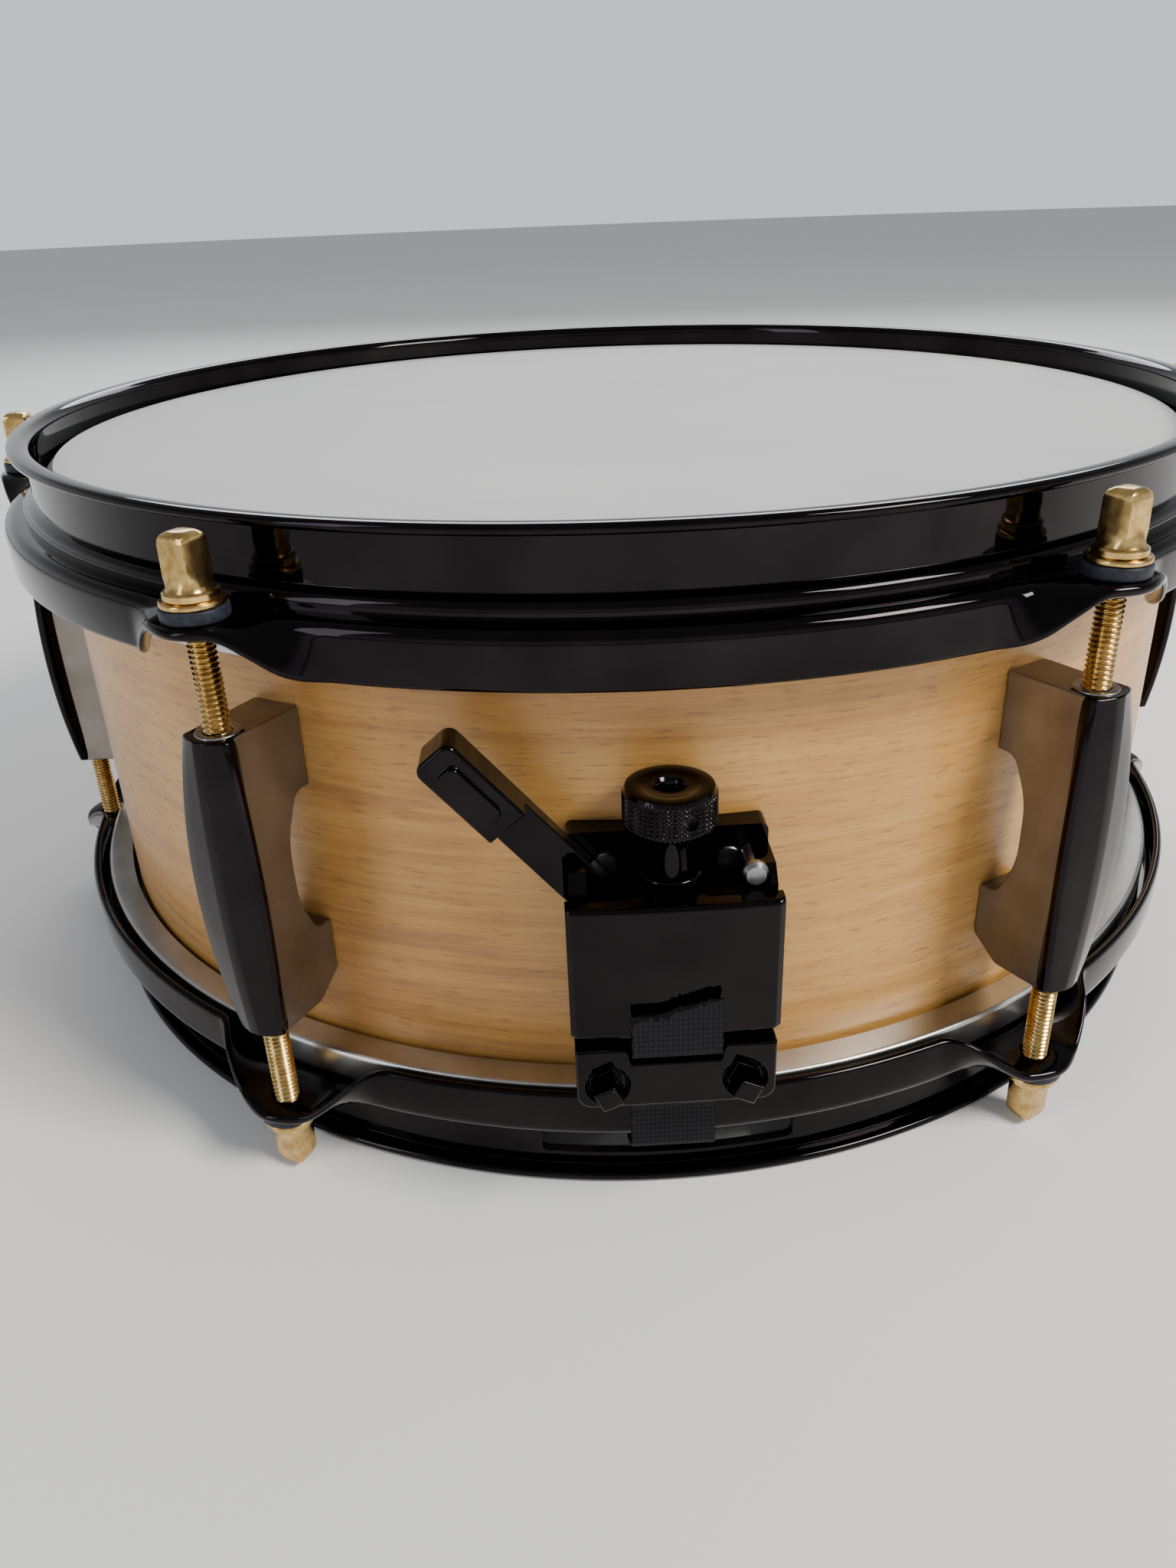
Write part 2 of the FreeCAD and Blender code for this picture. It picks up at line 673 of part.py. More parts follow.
def make_lug_screws():
    """Two screws from inside the shell into each lug, each with a washer under its head."""
    inside = size("shell_radius") - size("shell_wall") - 0.15
    thick = size("spring_washer_thick")
    length = size("shell_radius") + size("lug_screw_reach") - inside + thick
    one = screw(size("screw_head"), size("screw_head_thick"), size("lug_screw_radius"), length)
    rise = size("lug_screw_height")
    middle = size("drum_height") / 2
    washer = cylinder(size("spring_washer_radius"), Vector(0, 0, 0), Vector(0, 1, 0), thick - 0.02)
    washer = washer.cut(cylinder(size("lug_screw_radius") + 0.1, Vector(0, -1, 0), Vector(0, 1, 0), 4))
    screws, washers = [], []
    for azimuth in LUG_AZIMUTHS:
        for height in (middle - rise, middle + rise):
            screws.append(at_azimuth(one.translated(Vector(0, -inside + thick, height)), azimuth))
            washers.append(at_azimuth(washer.translated(Vector(0, -inside, height)), azimuth))
    solid_node("lug_screws", Part.makeCompound(screws))
    solid_node("lug_screw_washers", Part.makeCompound(washers))


for number_of, azimuth_of in enumerate(LUG_AZIMUTHS, start=1):
    make_lug(f"lug_casing_{number_of}", azimuth_of)
    make_rod(f"tension_rod_top_{number_of}", azimuth_of, False)
    make_rod(f"tension_rod_bottom_{number_of}", azimuth_of, True)
make_rod_hardware()
make_lug_screws()


# ---------------------------------------------------------------- strainer


def box_at(half, face, back, low, high, middle=0.0):
    """A block across x = middle, between two distances from the drum's axis and two heights."""
    corner = Vector(middle - half, -face, low)
    return Part.makeBox(2 * half, face - back, high - low, corner)


def radial(radius, x, z, back, face):
    """A pin or bore along Y, between two distances from the drum's axis."""
    return cylinder(radius, Vector(x, -back, z), Vector(0, -1, 0), face - back)


def make_base(label):
    """The strainer's base: a back plate hollowed to the shell, with two arched windows, and
    two side walls. The lever's slot parts the left wall from the plate."""
    base = body(label)
    plate = [
        ("-base_width / 2", "base_low"),
        ("base_width / 2", "base_low"),
        ("base_width / 2", "base_high"),
        ("-base_width / 2", "base_high"),
    ]
    profile = outline(base, "XZ_Plane", plate, offset="shell_radius - 4")
    pad(base, profile, "cheek_face - shell_radius + 4")
    round_edges(base, 1.5, along_radius)
    inside = "base_width / 2 - cheek_thick"
    room = [
        (f"-({inside})", "base_low + 4"),
        (inside, "base_low + 4"),
        (inside, "base_high + 1"),
        (f"-({inside})", "base_high + 1"),
    ]
    profile = outline(base, "XZ_Plane", room, offset="base_face")
    pad(base, profile, "cheek_face - base_face + 1", subtract=True, reverse=True)
    shoulder = [
        ("-base_face", "cheek_high"),
        ("-cheek_face + 3", "cheek_high"),
        ("-cheek_face - 1", "cheek_high - 4"),
        ("-cheek_face - 1", "base_high + 1"),
        ("-base_face", "base_high + 1"),
    ]
    profile = outline(base, "YZ_Plane", shoulder)
    pad(base, profile, "base_width + 2", middle=True, subtract=True)
    front = [
        ("-chin_face", "base_low - 1"),
        ("-chin_face", "chin_high"),
        ("-cheek_face - 1", "chin_high + 1.5"),
        ("-cheek_face - 1", "base_low - 1"),
    ]
    profile = outline(base, "YZ_Plane", front)
    pad(base, profile, "base_width + 2", middle=True, subtract=True)
    slot = [
        ("-base_width / 2 - 1", "base_low + 4"),
        (f"-({inside}) + 1", "base_low + 4"),
        (f"-({inside}) + 1", "base_high + 1"),
        ("-base_width / 2 - 1", "base_high + 1"),
    ]
    profile = outline(base, "XZ_Plane", slot, offset="base_face")
    pad(base, profile, "lever_face - base_face + 0.5", subtract=True, reverse=True)
    for side in (-1, 1):
        middle = f"{side} * window_spread"
        window = [
            (f"{middle} - window_half", "window_low"),
            (f"{middle} + window_half", "window_low"),
            (f"{middle} + window_half", "window_high - 2"),
            (f"{middle} + window_half - 1.6", "window_high"),
            (f"{middle} - window_half + 1.6", "window_high"),
            (f"{middle} - window_half", "window_high - 2"),
        ]
        profile = outline(base, "XZ_Plane", window, offset="shell_radius - 6")
        pad(base, profile, "12", subtract=True, reverse=True)
        where = (f"{side} * base_screw_spread", "base_screw_height")
        hole = circle(base, "XZ_Plane", *where, "base_screw_radius + 0.1", offset="shell_radius - 6")
        pad(base, hole, "12", subtract=True, reverse=True)
        sunk = circle(base, "XZ_Plane", *where, "base_screw_head + 0.2", offset="base_face - 2.1")
        pad(base, sunk, "5", subtract=True, reverse=True)
    where = ("stop_screw_x", "stop_screw_height")
    hole = circle(base, "XZ_Plane", *where, "1.4", offset="shell_radius - 6")
    pad(base, hole, "20", subtract=True, reverse=True)
    sunk = circle(base, "XZ_Plane", *where, "2.7", offset="stop_screw_seat")
    pad(base, sunk, "5", subtract=True, reverse=True)
    pin = circle(base, "XZ_Plane", "0", "pivot_height", "pivot_radius - 0.3", offset="shell_radius - 6")
    pad(base, pin, "12", subtract=True, reverse=True)
    seat = circle(base, "XY_Plane", "0", "0", "shell_radius + 0.1")
    pad(base, seat, "200", subtract=True, reverse=True)
    groove = circle(base, "XY_Plane", "0", "-post_axis", "bush_radius + 0.35", offset="bridge_low - 6")
    pad(base, groove, "20", subtract=True, reverse=True)
    scallop = circle(base, "XY_Plane", "0", "-post_axis", "knob_radius + 0.4", offset="knob_low - 5.2")
    pad(base, scallop, "10", subtract=True, reverse=True)


def make_lever():
    """The lever: a flat arm from the hub behind the slide, a thick grip with a raised pad,
    and the crank pin that drives the slide."""
    pivot = Vector(0, 0, size("pivot_height"))
    back, face = size("lever_back"), size("lever_face")
    half, length = size("lever_width") / 2, size("lever_length")
    hub = radial(size("lever_hub"), 0, pivot.z, back, face)
    arm = Part.makeBox(length, face - back, 2 * half, Vector(0, -face, pivot.z - half))
    grip_start = length - size("grip_length")
    grip = Part.makeBox(size("grip_length"), size("grip_face") - back, 2 * half)
    grip.translate(Vector(grip_start, -size("grip_face"), pivot.z - half))
    arm = arm.fuse(grip).removeSplitter()
    ends = [e for e in arm.Edges if along_radius(e) and e.BoundBox.XMin > length - 1]
    arm = arm.makeFillet(2.2, ends)
    arm = arm.makeFillet(0.9, [e for e in arm.Edges if faces_out(e, size("grip_face"))])
    button = Part.makeBox(13.0, 1.6, 4.4, Vector(grip_start + 3.4, -size("grip_face") - 1.2, pivot.z - 2.2))
    button = button.makeFillet(1.5, [e for e in button.Edges if along_radius(e)])
    button = button.makeFillet(0.5, [e for e in button.Edges if faces_out(e, size("grip_face") + 1.2)])
    lever = arm.fuse([hub, button])
    lever.rotate(pivot, Vector(0, 1, 0), -size("lever_rest"))
    swing = math.radians(180 - size("crank_swing"))
    reach = size("crank_radius")
    at = (reach * math.cos(swing), pivot.z + reach * math.sin(swing))
    pin = radial(size("crank_pin"), at[0], at[1], face - 1, size("slide_face") - 1)
    lever = lever.fuse(pin)
    lever = lever.cut(radial(size("pivot_radius") + 0.05, 0, pivot.z, back - 5, face + 8))
    solid_node("throw_off_lever", lever.removeSplitter())
    shank = radial(size("pivot_radius"), 0, pivot.z, size("base_face") + 0.02, face + 0.15)
    tail = radial(size("pivot_radius") - 0.35, 0, pivot.z, size("shell_radius") + 0.3, size("base_face") + 1)
    solid_node("lever_pivot_pin", shank.fuse(tail).removeSplitter())


def make_slide():
    """The inner slide that the crank pin lifts and drops. Its bridge carries the collar
    under the knob, and the cover's shelf passes through its window."""
    back, face = size("slide_back"), size("slide_face")
    low, shoulder = size("slide_low"), size("slide_high")
    top, bridge = size("bridge_high"), size("bridge_low")
    plate = box_at(size("slide_half"), face, back, low, shoulder)
    neck = box_at(size("bridge_half"), face, back, shoulder - 1, top)
    shelf = box_at(size("bridge_half"), face, size("base_face") + 0.6, bridge, top)
    window = box_at(3.6, face + 1, back - 1, shoulder - 1.0, bridge)
    swing = math.radians(size("crank_swing"))
    reach = size("crank_radius")
    rise = reach * math.sin(swing)
    along = reach * (1 - math.cos(swing)) / 2
    middle = -(reach + reach * math.cos(swing)) / 2
    half = size("crank_pin") + 0.25
    level = size("pivot_height") + rise
    slot = box_at(along, face + 1, back - 1, level - half, level + half, middle)
    for end in (middle - along, middle + along):
        slot = slot.fuse(radial(half, end, level, back - 1, face + 1))
    slide = plate.fuse([neck, shelf]).cut([window, slot])
    axis = Vector(0, -size("post_axis"), bridge - 1)
    slide = slide.cut(cylinder(size("post_radius") + 0.3, axis, Vector(0, 0, 1), 10))
    solid_node("strainer_slide", slide.removeSplitter())
    at = Vector(0, -size("post_axis"), 0)
    rim = size("bush_high") - 0.02
    bush = ring_between(size("bush_radius"), size("post_radius") + 0.3, top + 0.02, rim - top - 0.02, at)
    solid_node("knob_collar", bush)


def make_knob():
    """The adjusting knob: a neck that stands on the collar under a knurled head, bored for
    the post, with a set screw in its side."""
    knob = body("adjusting_knob")
    bore = "post_radius + 0.06"
    points = [
        (bore, "bush_high"),
        ("neck_radius", "bush_high"),
        ("neck_radius", "knob_low"),
        ("knob_radius - 0.8", "knob_low"),
        ("knob_radius", "knob_low + 0.8"),
        ("knob_radius", "knob_high - 0.8"),
        ("knob_radius - 0.8", "knob_high"),
        (bore, "knob_high"),
    ]
    turned(knob, outline(knob, "XZ_Plane", points))
    side = circle(knob, "XZ_Plane", "0", "(knob_low + knob_high) / 2", "1.5", offset="post_radius + 1.5")
    pad(knob, side, "knob_radius", subtract=True, reverse=True)
    knob.Placement = Placement(Vector(0, -size("post_axis"), 0), Rotation(Vector(0, 0, 1), 20))
    plug = cylinder(1.45, Vector(0, -size("post_radius") - 1.6, 0), Vector(0, -1, 0), 2.6)
    plug = plug.cut(cylinder(0.7, Vector(0, -size("post_radius") - 3.2, 0), Vector(0, -1, 0), 4))
    plug.rotate(Vector(0, 0, 0), Vector(0, 0, 1), 20)
    height = (size("knob_low") + size("knob_high")) / 2
    solid_node("knob_set_screw", plug.translated(Vector(0, -size("post_axis"), height)))


def make_cover():
    """The curved cover in front of the slide, with the shelf that holds the threaded post and
    the lower jaw that the clamp plate closes on."""
    cover = body("strainer_cover")
    face_plan = [
        ("-cover_half", "-cover_back"),
        ("-cover_half", "-(cover_face - 1.6)"),
        ("-cover_half + 1.2", "-(cover_face - 0.7)"),
        ("-cover_half * 0.5", "-(cover_face - 0.1)"),
        ("0", "-cover_face"),
        ("cover_half * 0.5", "-(cover_face - 0.1)"),
        ("cover_half - 1.2", "-(cover_face - 0.7)"),
        ("cover_half", "-(cover_face - 1.6)"),
        ("cover_half", "-cover_back"),
    ]
    profile = outline(cover, "XY_Plane", face_plan, offset="cover_low")
    pad(cover, profile, "cover_high - cover_low")
    doc.recompute()
    top, bottom = size("cover_high"), size("cover_low")
    face = size("cover_back") + 1.5
    round_edges(cover, 1.2, lambda e: (is_level(e, top) or is_level(e, bottom)) and e.BoundBox.YMax < -face)
    jaw = [
        ("-(clamp_half)", "jaw_low"),
        ("clamp_half", "jaw_low"),
        ("clamp_half", "cover_low + 1"),
        ("-(clamp_half)", "cover_low + 1"),
    ]
    pad(cover, outline(cover, "XZ_Plane", jaw, offset="jaw_back"), "clamp_back - strap_gap - jaw_back")
    link = [
        ("-(clamp_half)", "cover_low - 1.6"),
        ("clamp_half", "cover_low - 1.6"),
        ("clamp_half", "cover_low + 2"),
        ("-(clamp_half)", "cover_low + 2"),
    ]
    pad(cover, outline(cover, "XZ_Plane", link, offset="cover_back - 1.5"), "2.5")
    shelf = [
        ("-shelf_half", "shelf_low"),
        ("shelf_half", "shelf_low"),
        ("shelf_half", "shelf_high"),
        ("-shelf_half", "shelf_high"),
    ]
    profile = outline(cover, "XZ_Plane", shelf, offset="post_axis - 3.2")
    pad(cover, profile, "cover_back + 0.5 - post_axis + 3.2")
    post = circle(cover, "XY_Plane", "0", "-post_axis", "post_radius", offset="shelf_low + 1")
    pad(cover, post, "knob_high - 3 - shelf_low")
    drill_jaw(cover)


def drill_jaw(owner):
    """The two tapped holes in a jaw that take the clamp's key screws."""
    for side in (-1, 1):
        where = (f"{side} * key_screw_spread", "key_screw_height")
        hole = circle(owner, "XZ_Plane", *where, "key_screw_radius + 0.05", offset="jaw_back - 3")
        pad(owner, hole, "8", subtract=True, reverse=True)


def clamp_plate(label, azimuth):
    """A clamp plate with round lower corners, a notch where the strap comes out, and two
    counterbores for its key screws."""
    plate = body(label)
    notch = "strap_half + 0.8"
    points = [
        ("-clamp_half", "clamp_low"),
        ("clamp_half", "clamp_low"),
        ("clamp_half", "clamp_high"),
        (notch, "clamp_high"),
        (f"{notch} - 0.6", "clamp_high - 3.6"),
        (f"-({notch}) + 0.6", "clamp_high - 3.6"),
        (f"-({notch})", "clamp_high"),
        ("-clamp_half", "clamp_high"),
    ]
    profile = outline(plate, "XZ_Plane", points, offset="clamp_back")
    pad(plate, profile, "clamp_face - clamp_back")
    doc.recompute()
    low = size("clamp_low")
    edge = size("clamp_half")
    round_edges(plate, 3.2, lambda e: along_radius(e) and e.BoundBox.ZMin < low + 0.1
                and abs(e.BoundBox.XMin) > edge - 1)
    doc.recompute()
    round_edges(plate, 0.8, lambda e: faces_out(e, size("clamp_face")))
    for side in (-1, 1):
        where = (f"{side} * key_screw_spread", "key_screw_height")
        hole = circle(plate, "XZ_Plane", *where, "key_screw_radius + 0.35", offset="clamp_back - 1")
        pad(plate, hole, "8", subtract=True, reverse=True)
        seat = "clamp_face - key_recess_depth"
        recess = circle(plate, "XZ_Plane", *where, "key_recess_radius", offset=seat)
        pad(plate, recess, "5", subtract=True, reverse=True)
    turn_about_axis(plate, azimuth)


def clamp_screws(label, azimuth):
    """Two key screws with square heads, in the clamp plate's counterbores."""
    seat = size("clamp_face") - size("key_recess_depth")
    screws = []
    for side in (-1, 1):
        x, z = side * size("key_screw_spread"), size("key_screw_height")
        shank = radial(size("key_screw_radius"), x, z, size("jaw_back"), seat + 0.5)
        flange = radial(3.7, x, z, seat + 0.02, seat + 1.4)
        head = Part.makeBox(4.6, 6.2, 4.6, Vector(x - 2.3, -seat - 7.0, z - 2.3))
        head = head.makeFillet(0.7, [e for e in head.Edges if abs(e.BoundBox.YMax + seat + 7.0) < 1e-4])
        turned_head = head.copy()
        turned_head.rotate(Vector(x, 0, z), Vector(0, 1, 0), 25 * side)
        screws.append(shank.fuse([flange, turned_head]).removeSplitter())
    made = solid_node(label, Part.makeCompound(screws))
    turn_about_axis(made, azimuth)


def strap_path(free_end):
    """The strap's middle line in the plane x = 0, as (distance from the axis, height): from
    its free end, through the clamp, down past the skirt, in through the gate and along
    under the head to the snares."""
    jaw = size("clamp_back") - size("strap_gap") / 2
    skirt = size("fold_radius") + 1.3
    on_plate = size("wire_height") - size("wire_radius") + size("strap_thick") / 2 + 0.05
    over = size("cover_face") + 1.4
    free = [(over + 0.5, size("cover_low") + 10.5), (over, size("clamp_high") - 0.6)] if free_end else []
    return free + [
        (jaw, size("clamp_high") - 3.3),
        (jaw, size("clamp_low") - 1),
        (skirt, size("skirt_depth") - 1),
        (skirt, size("ear_top") - 0.4),
        (size("lip_outer"), 11.6),
        (size("shell_radius") - 1.5, on_plate + 0.7),
        (size("wire_half_length") + 13, on_plate),
        (size("wire_half_length") + 3, on_plate),
    ]


def make_strap(label, azimuth, free_end):
    """A strap: its middle line given half its thickness to each side, mitred at the bends."""
    line = [Vector(0, -r, z) for r, z in strap_path(free_end)]
    steps = [(b - a).normalize() for a, b in zip(line, line[1:])]
    steps = steps[:1] + steps + steps[-1:]
    half = size("strap_thick") / 2
    left, right = [], []
    for at, before, after in zip(line, steps, steps[1:]):
        along = (before + after).normalize()
        aside = Vector(0, -along.z, along.y) * (half / along.dot(after))
        left.append(at + aside)
        right.append(at - aside)
    ring = left + right[::-1]
    width = size("strap_half")
    face = Part.Face(Part.makePolygon(ring + ring[:1]))
    face.translate(Vector(-width, 0, 0))
    made = solid_node(label, face.extrude(Vector(2 * width, 0, 0)))
    turn_about_axis(made, azimuth)


def make_small_screws():
    """The base's two flush screws, and the screw beside its right wall."""
    seat = size("base_face") - 2.08
    one = screw(size("base_screw_head"), 2.0, size("base_screw_radius"), seat - size("shell_radius") + 8)
    stop = screw(2.5, 1.9, 1.3, size("stop_screw_seat") - size("shell_radius") - 0.5)
    for item in (one, stop):
        item.rotate(Vector(0, 0, 0), Vector(0, 0, 1), 180)
    spread, height = size("base_screw_spread"), size("base_screw_height")
    screws = [one.translated(Vector(x, -seat, height)) for x in (-spread, spread)]
    where = Vector(size("stop_screw_x"), -size("stop_screw_seat") - 0.02, size("stop_screw_height"))
    solid_node("strainer_screws", Part.makeCompound(screws + [stop.translated(where)]))


make_base("strainer_base")
make_lever()
make_slide()
make_knob()
make_cover()
clamp_plate("strainer_clamp", 0)
clamp_screws("strainer_clamp_screws", 0)
make_strap("strainer_strap", 0, True)
make_small_screws()


# ---------------------------------------------------------------- butt plate and snares


def make_butt():
    """The fixed end: a bracket hollowed to the shell, with a jaw for the same clamp plate."""
    butt = body("butt_base")
    low, high = "jaw_low", "cover_low + 18"
    side = [
        ("-(shell_radius - 4)", "base_low"),
        ("-jaw_back + 4.5", "base_low"),
        ("-jaw_back", "jaw_low + 3"),
        ("-jaw_back", low),
        ("-(clamp_back - strap_gap)", low),
        ("-(clamp_back - strap_gap)", "clamp_high - 1"),
        ("-(cover_back - 1)", "clamp_high + 2"),
        ("-(cover_back - 6)", high),
        ("-(shell_radius - 4)", high),
    ]
    pad(butt, outline(butt, "YZ_Plane", side), "2 * clamp_half", middle=True)
    round_edges(butt, 3.0, lambda e: along_radius(e) and e.BoundBox.ZMin > size("cover_low") + 17)
    seat = circle(butt, "XY_Plane", "0", "0", "shell_radius + 0.1")
    pad(butt, seat, "200", subtract=True, reverse=True)
    for side_of in ("-base_screw_spread", "base_screw_spread"):
        where = (side_of, "butt_screw_height")
        hole = circle(butt, "XZ_Plane", *where, "butt_screw_radius + 0.1", offset="shell_radius - 6")
        pad(butt, hole, "20", subtract=True, reverse=True)
        sunk = circle(butt, "XZ_Plane", *where, "butt_screw_head + 0.6", offset="butt_screw_seat")
        pad(butt, sunk, "12", subtract=True, reverse=True)
    drill_jaw(butt)
    turn_about_axis(butt, 180)
    seat = size("butt_screw_seat") + 0.02
    one = screw(size("butt_screw_head"), 2.2, size("butt_screw_radius"), seat - size("shell_radius") + 7.5)
    one.rotate(Vector(0, 0, 0), Vector(0, 0, 1), 180)
    spread, height = size("base_screw_spread"), size("butt_screw_height")
    made = [one.translated(Vector(x, -seat, height)) for x in (-spread, spread)]
    screws = solid_node("butt_screws", Part.makeCompound(made))
    turn_about_axis(screws, 180)


def make_snares():
    """Twenty coils side by side, soldered to a plate at each end, and the plates' strap slots."""
    length = 2 * size("wire_half_length")
    level = size("wire_height")
    coils = []
    for i in range(COILS):
        x = (i - (COILS - 1) / 2) * size("wire_pitch")
        start = Vector(x, -length / 2, level)
        coils.append(cylinder(size("wire_radius"), start, Vector(0, 1, 0), length))
    solid_node("snare_coils", Part.makeCompound(coils))
    for label, azimuth in (("snare_end_plate_front", 0), ("snare_end_plate_back", 180)):
        plate = body(label)
        inner = "-(wire_half_length - 5)"
        outer = "-(wire_half_length - 5 + plate_length)"
        points = [
            ("-plate_half_width", inner),
            ("plate_half_width", inner),
            ("plate_half_width", f"{outer} + 4"),
            ("plate_half_width - 7", outer),
            ("-plate_half_width + 7", outer),
            ("-plate_half_width", f"{outer} + 4"),
        ]
        top = "wire_height - wire_radius - 0.02 - plate_thick"
        pad(plate, outline(plate, "XY_Plane", points, offset=top), "plate_thick")
        slot = [
            ("-strap_half - 0.5", f"{outer} + 2.5"),
            ("strap_half + 0.5", f"{outer} + 2.5"),
            ("strap_half + 0.5", f"{outer} + 4.5"),
            ("-strap_half - 0.5", f"{outer} + 4.5"),
        ]
        pad(plate, outline(plate, "XY_Plane", slot, offset=f"{top} - 1"), "5", subtract=True, reverse=True)
        turn_about_axis(plate, azimuth)


def make_vent():
    """A brass eyelet through the shell: a tube with a rolled flange on each side."""
    vent = body("vent_grommet")
    radius = "vent_radius"
    outside, inside = "shell_radius + 0.4", "shell_radius - shell_wall - 0.4"
    points = [
        (radius, f"-({outside}) - 0.9"),
        (f"{radius} + 3.2", f"-({outside}) - 0.3"),
        (f"{radius} + 3.6", f"-({outside}) + 0.2"),
        (f"{radius} + 0.9", f"-({outside}) + 0.2"),
        (f"{radius} + 0.9", f"-({inside})"),
        (f"{radius} + 3.0", f"-({inside})"),
        (f"{radius} + 2.6", f"-({inside}) + 0.7"),
        (radius, f"-({inside}) + 0.9"),
    ]
    turned(vent, outline(vent, "XY_Plane", points))
    up = Placement(Vector(0, 0, size("drum_height") / 2), Rotation())
    around = Placement(Vector(0, 0, 0), Rotation(Vector(0, 0, 1), size("vent_azimuth")))
    vent.Placement = around.multiply(up)


make_butt()
clamp_plate("butt_clamp", 180)
clamp_screws("butt_clamp_screws", 180)
make_strap("butt_strap", 180, False)
make_snares()
make_vent()

# ---------------------------------------------------------------- checks and files

doc.recompute()
for item in doc.Objects:
    if "Invalid" in item.State or "Error" in item.State:
        raise RuntimeError(f"{item.Label} failed: {item.State}")
os.makedirs("parts", exist_ok=True)
for item in nodes:
    shape = item.Shape
    if shape.isNull() or not shape.isValid() or not shape.Solids:
        raise RuntimeError(f"{item.Label} has no valid solid")
for item in nodes:
    item.Shape.exportStep(f"parts/{item.Label}.step")
    print(f"{item.Label}: {len(item.Shape.Solids)} solid(s), {item.Shape.Volume:.0f} mm3")
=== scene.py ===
# %% [markdown]
# # A snare drum, finished around its engineering model
#
# The engineering model has every piece in its true place and size, but its faces are loose
# triangles. This lesson keeps that model as a fixed frame and gives each visible piece a smooth
# surface and a real finish. Sizes are in millimetres where they are named, and MM turns them
# into Blender's metres. +Z is up along the drum's axis, and the strainer faces -Y.

# %% Start from the frame
import json
import math

import bmesh
import bpy
import numpy as np
from mathutils import Matrix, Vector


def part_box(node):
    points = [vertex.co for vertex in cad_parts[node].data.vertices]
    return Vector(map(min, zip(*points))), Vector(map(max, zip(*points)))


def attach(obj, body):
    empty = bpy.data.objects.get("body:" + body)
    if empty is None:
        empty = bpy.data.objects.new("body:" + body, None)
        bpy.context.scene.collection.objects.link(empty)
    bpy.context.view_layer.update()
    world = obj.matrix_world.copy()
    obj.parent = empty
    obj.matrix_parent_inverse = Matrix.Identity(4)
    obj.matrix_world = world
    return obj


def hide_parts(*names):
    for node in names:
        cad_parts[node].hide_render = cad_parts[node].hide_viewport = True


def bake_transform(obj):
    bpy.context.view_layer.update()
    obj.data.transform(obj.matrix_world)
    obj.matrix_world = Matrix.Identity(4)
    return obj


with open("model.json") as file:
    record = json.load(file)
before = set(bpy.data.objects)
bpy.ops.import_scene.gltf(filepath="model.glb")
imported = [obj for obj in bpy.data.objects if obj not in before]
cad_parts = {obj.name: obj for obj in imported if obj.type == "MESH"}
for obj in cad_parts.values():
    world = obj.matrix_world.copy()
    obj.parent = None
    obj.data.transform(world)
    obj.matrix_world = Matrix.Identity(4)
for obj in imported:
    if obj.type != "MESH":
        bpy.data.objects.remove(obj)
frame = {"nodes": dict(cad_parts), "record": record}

MM = 0.001
TAU = 2 * math.pi
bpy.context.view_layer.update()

# %% [markdown]
# ## The drum's driving sizes
#
# Most numbers below are the real parts' sizes. Where the frame can give one, it's read from
# there, so that the looks can't drift away from the model. Each lug's azimuth is counted from
# the front towards +X.

# %% Driving sizes
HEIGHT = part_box("batter_hoop")[1].z / MM
SHELL_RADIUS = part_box("shell")[1].x / MM
LUG_AZIMUTHS = [-30, 30, 90, 150, -150, -90]
ROD_CIRCLE = 168.4
EAR_TOP = HEIGHT - 17.0
print(f"drum: {HEIGHT:.1f} mm over the rims, shell radius {SHELL_RADIUS:.1f} mm")

# %% [markdown]
# ## Surfaces as grids
#
# A turned or folded part is a function of two parameters. We work the whole grid out at once
# with numpy, and one helper joins neighbours into quads. The same helper takes a stack of
# grids, which is how twelve washers or twenty coils become one piece.


# %% Grid helpers
def angles(count, start=0.0):
    """Evenly spaced angles round a full circle, in radians."""
    return start + np.arange(count) * TAU / count


def surface(name, points, around=True, along=False, capped=True, flat=None, sharp=35):
    """A mesh from grids of points in mm: rows run along a part and columns go around it.
    flat holds a (u, v) pair for each grid corner, with one more row or column where it closes."""
    grids = points if points.ndim == 4 else points[None]
    copies, rows, columns = grids.shape[:3]
    i = np.arange(rows if along else rows - 1)
    j = np.arange(columns if around else columns - 1)
    i, j = np.meshgrid(i, j, indexing="ij")
    row, next_row = i * columns, (i + 1) % rows * columns
    next_j = (j + 1) % columns
    corners = np.stack([row + j, next_row + j, next_row + next_j, row + next_j], -1)
    first = (np.arange(copies) * rows * columns)[:, None, None]
    faces = (corners.reshape(1, -1, 4) + first).reshape(-1, 4).tolist()
    if around and capped and not along:
        ring = np.arange(columns)[None]
        ends = np.concatenate([ring[:, ::-1] + first[:, 0], ring + first[:, 0] + (rows - 1) * columns])
        faces += ends.tolist()
    mesh = bpy.data.meshes.new(name)
    mesh.from_pydata((grids.reshape(-1, 3) * MM).tolist(), [], faces)
    if flat is not None:
        around_uv = np.stack([flat[i, j], flat[i + 1, j], flat[i + 1, j + 1], flat[i, j + 1]], -2)
        values = np.zeros((len(mesh.loops), 2))
        quads = np.tile(around_uv.reshape(-1, 2), (copies, 1))
        values[: len(quads)] = quads
        mesh.uv_layers.new(name="Flat").data.foreach_set("uv", values.ravel())
    return tidied(mesh, sharp)


def tidied(mesh, sharp):
    """Turn all faces outwards, and shade smoothly up to a crease angle in degrees."""
    work = bmesh.new()
    work.from_mesh(mesh)
    bmesh.ops.recalc_face_normals(work, faces=work.faces)
    work.to_mesh(mesh)
    work.free()
    mesh.shade_smooth()
    mesh.set_sharp_from_angle(angle=math.radians(sharp))
    return mesh


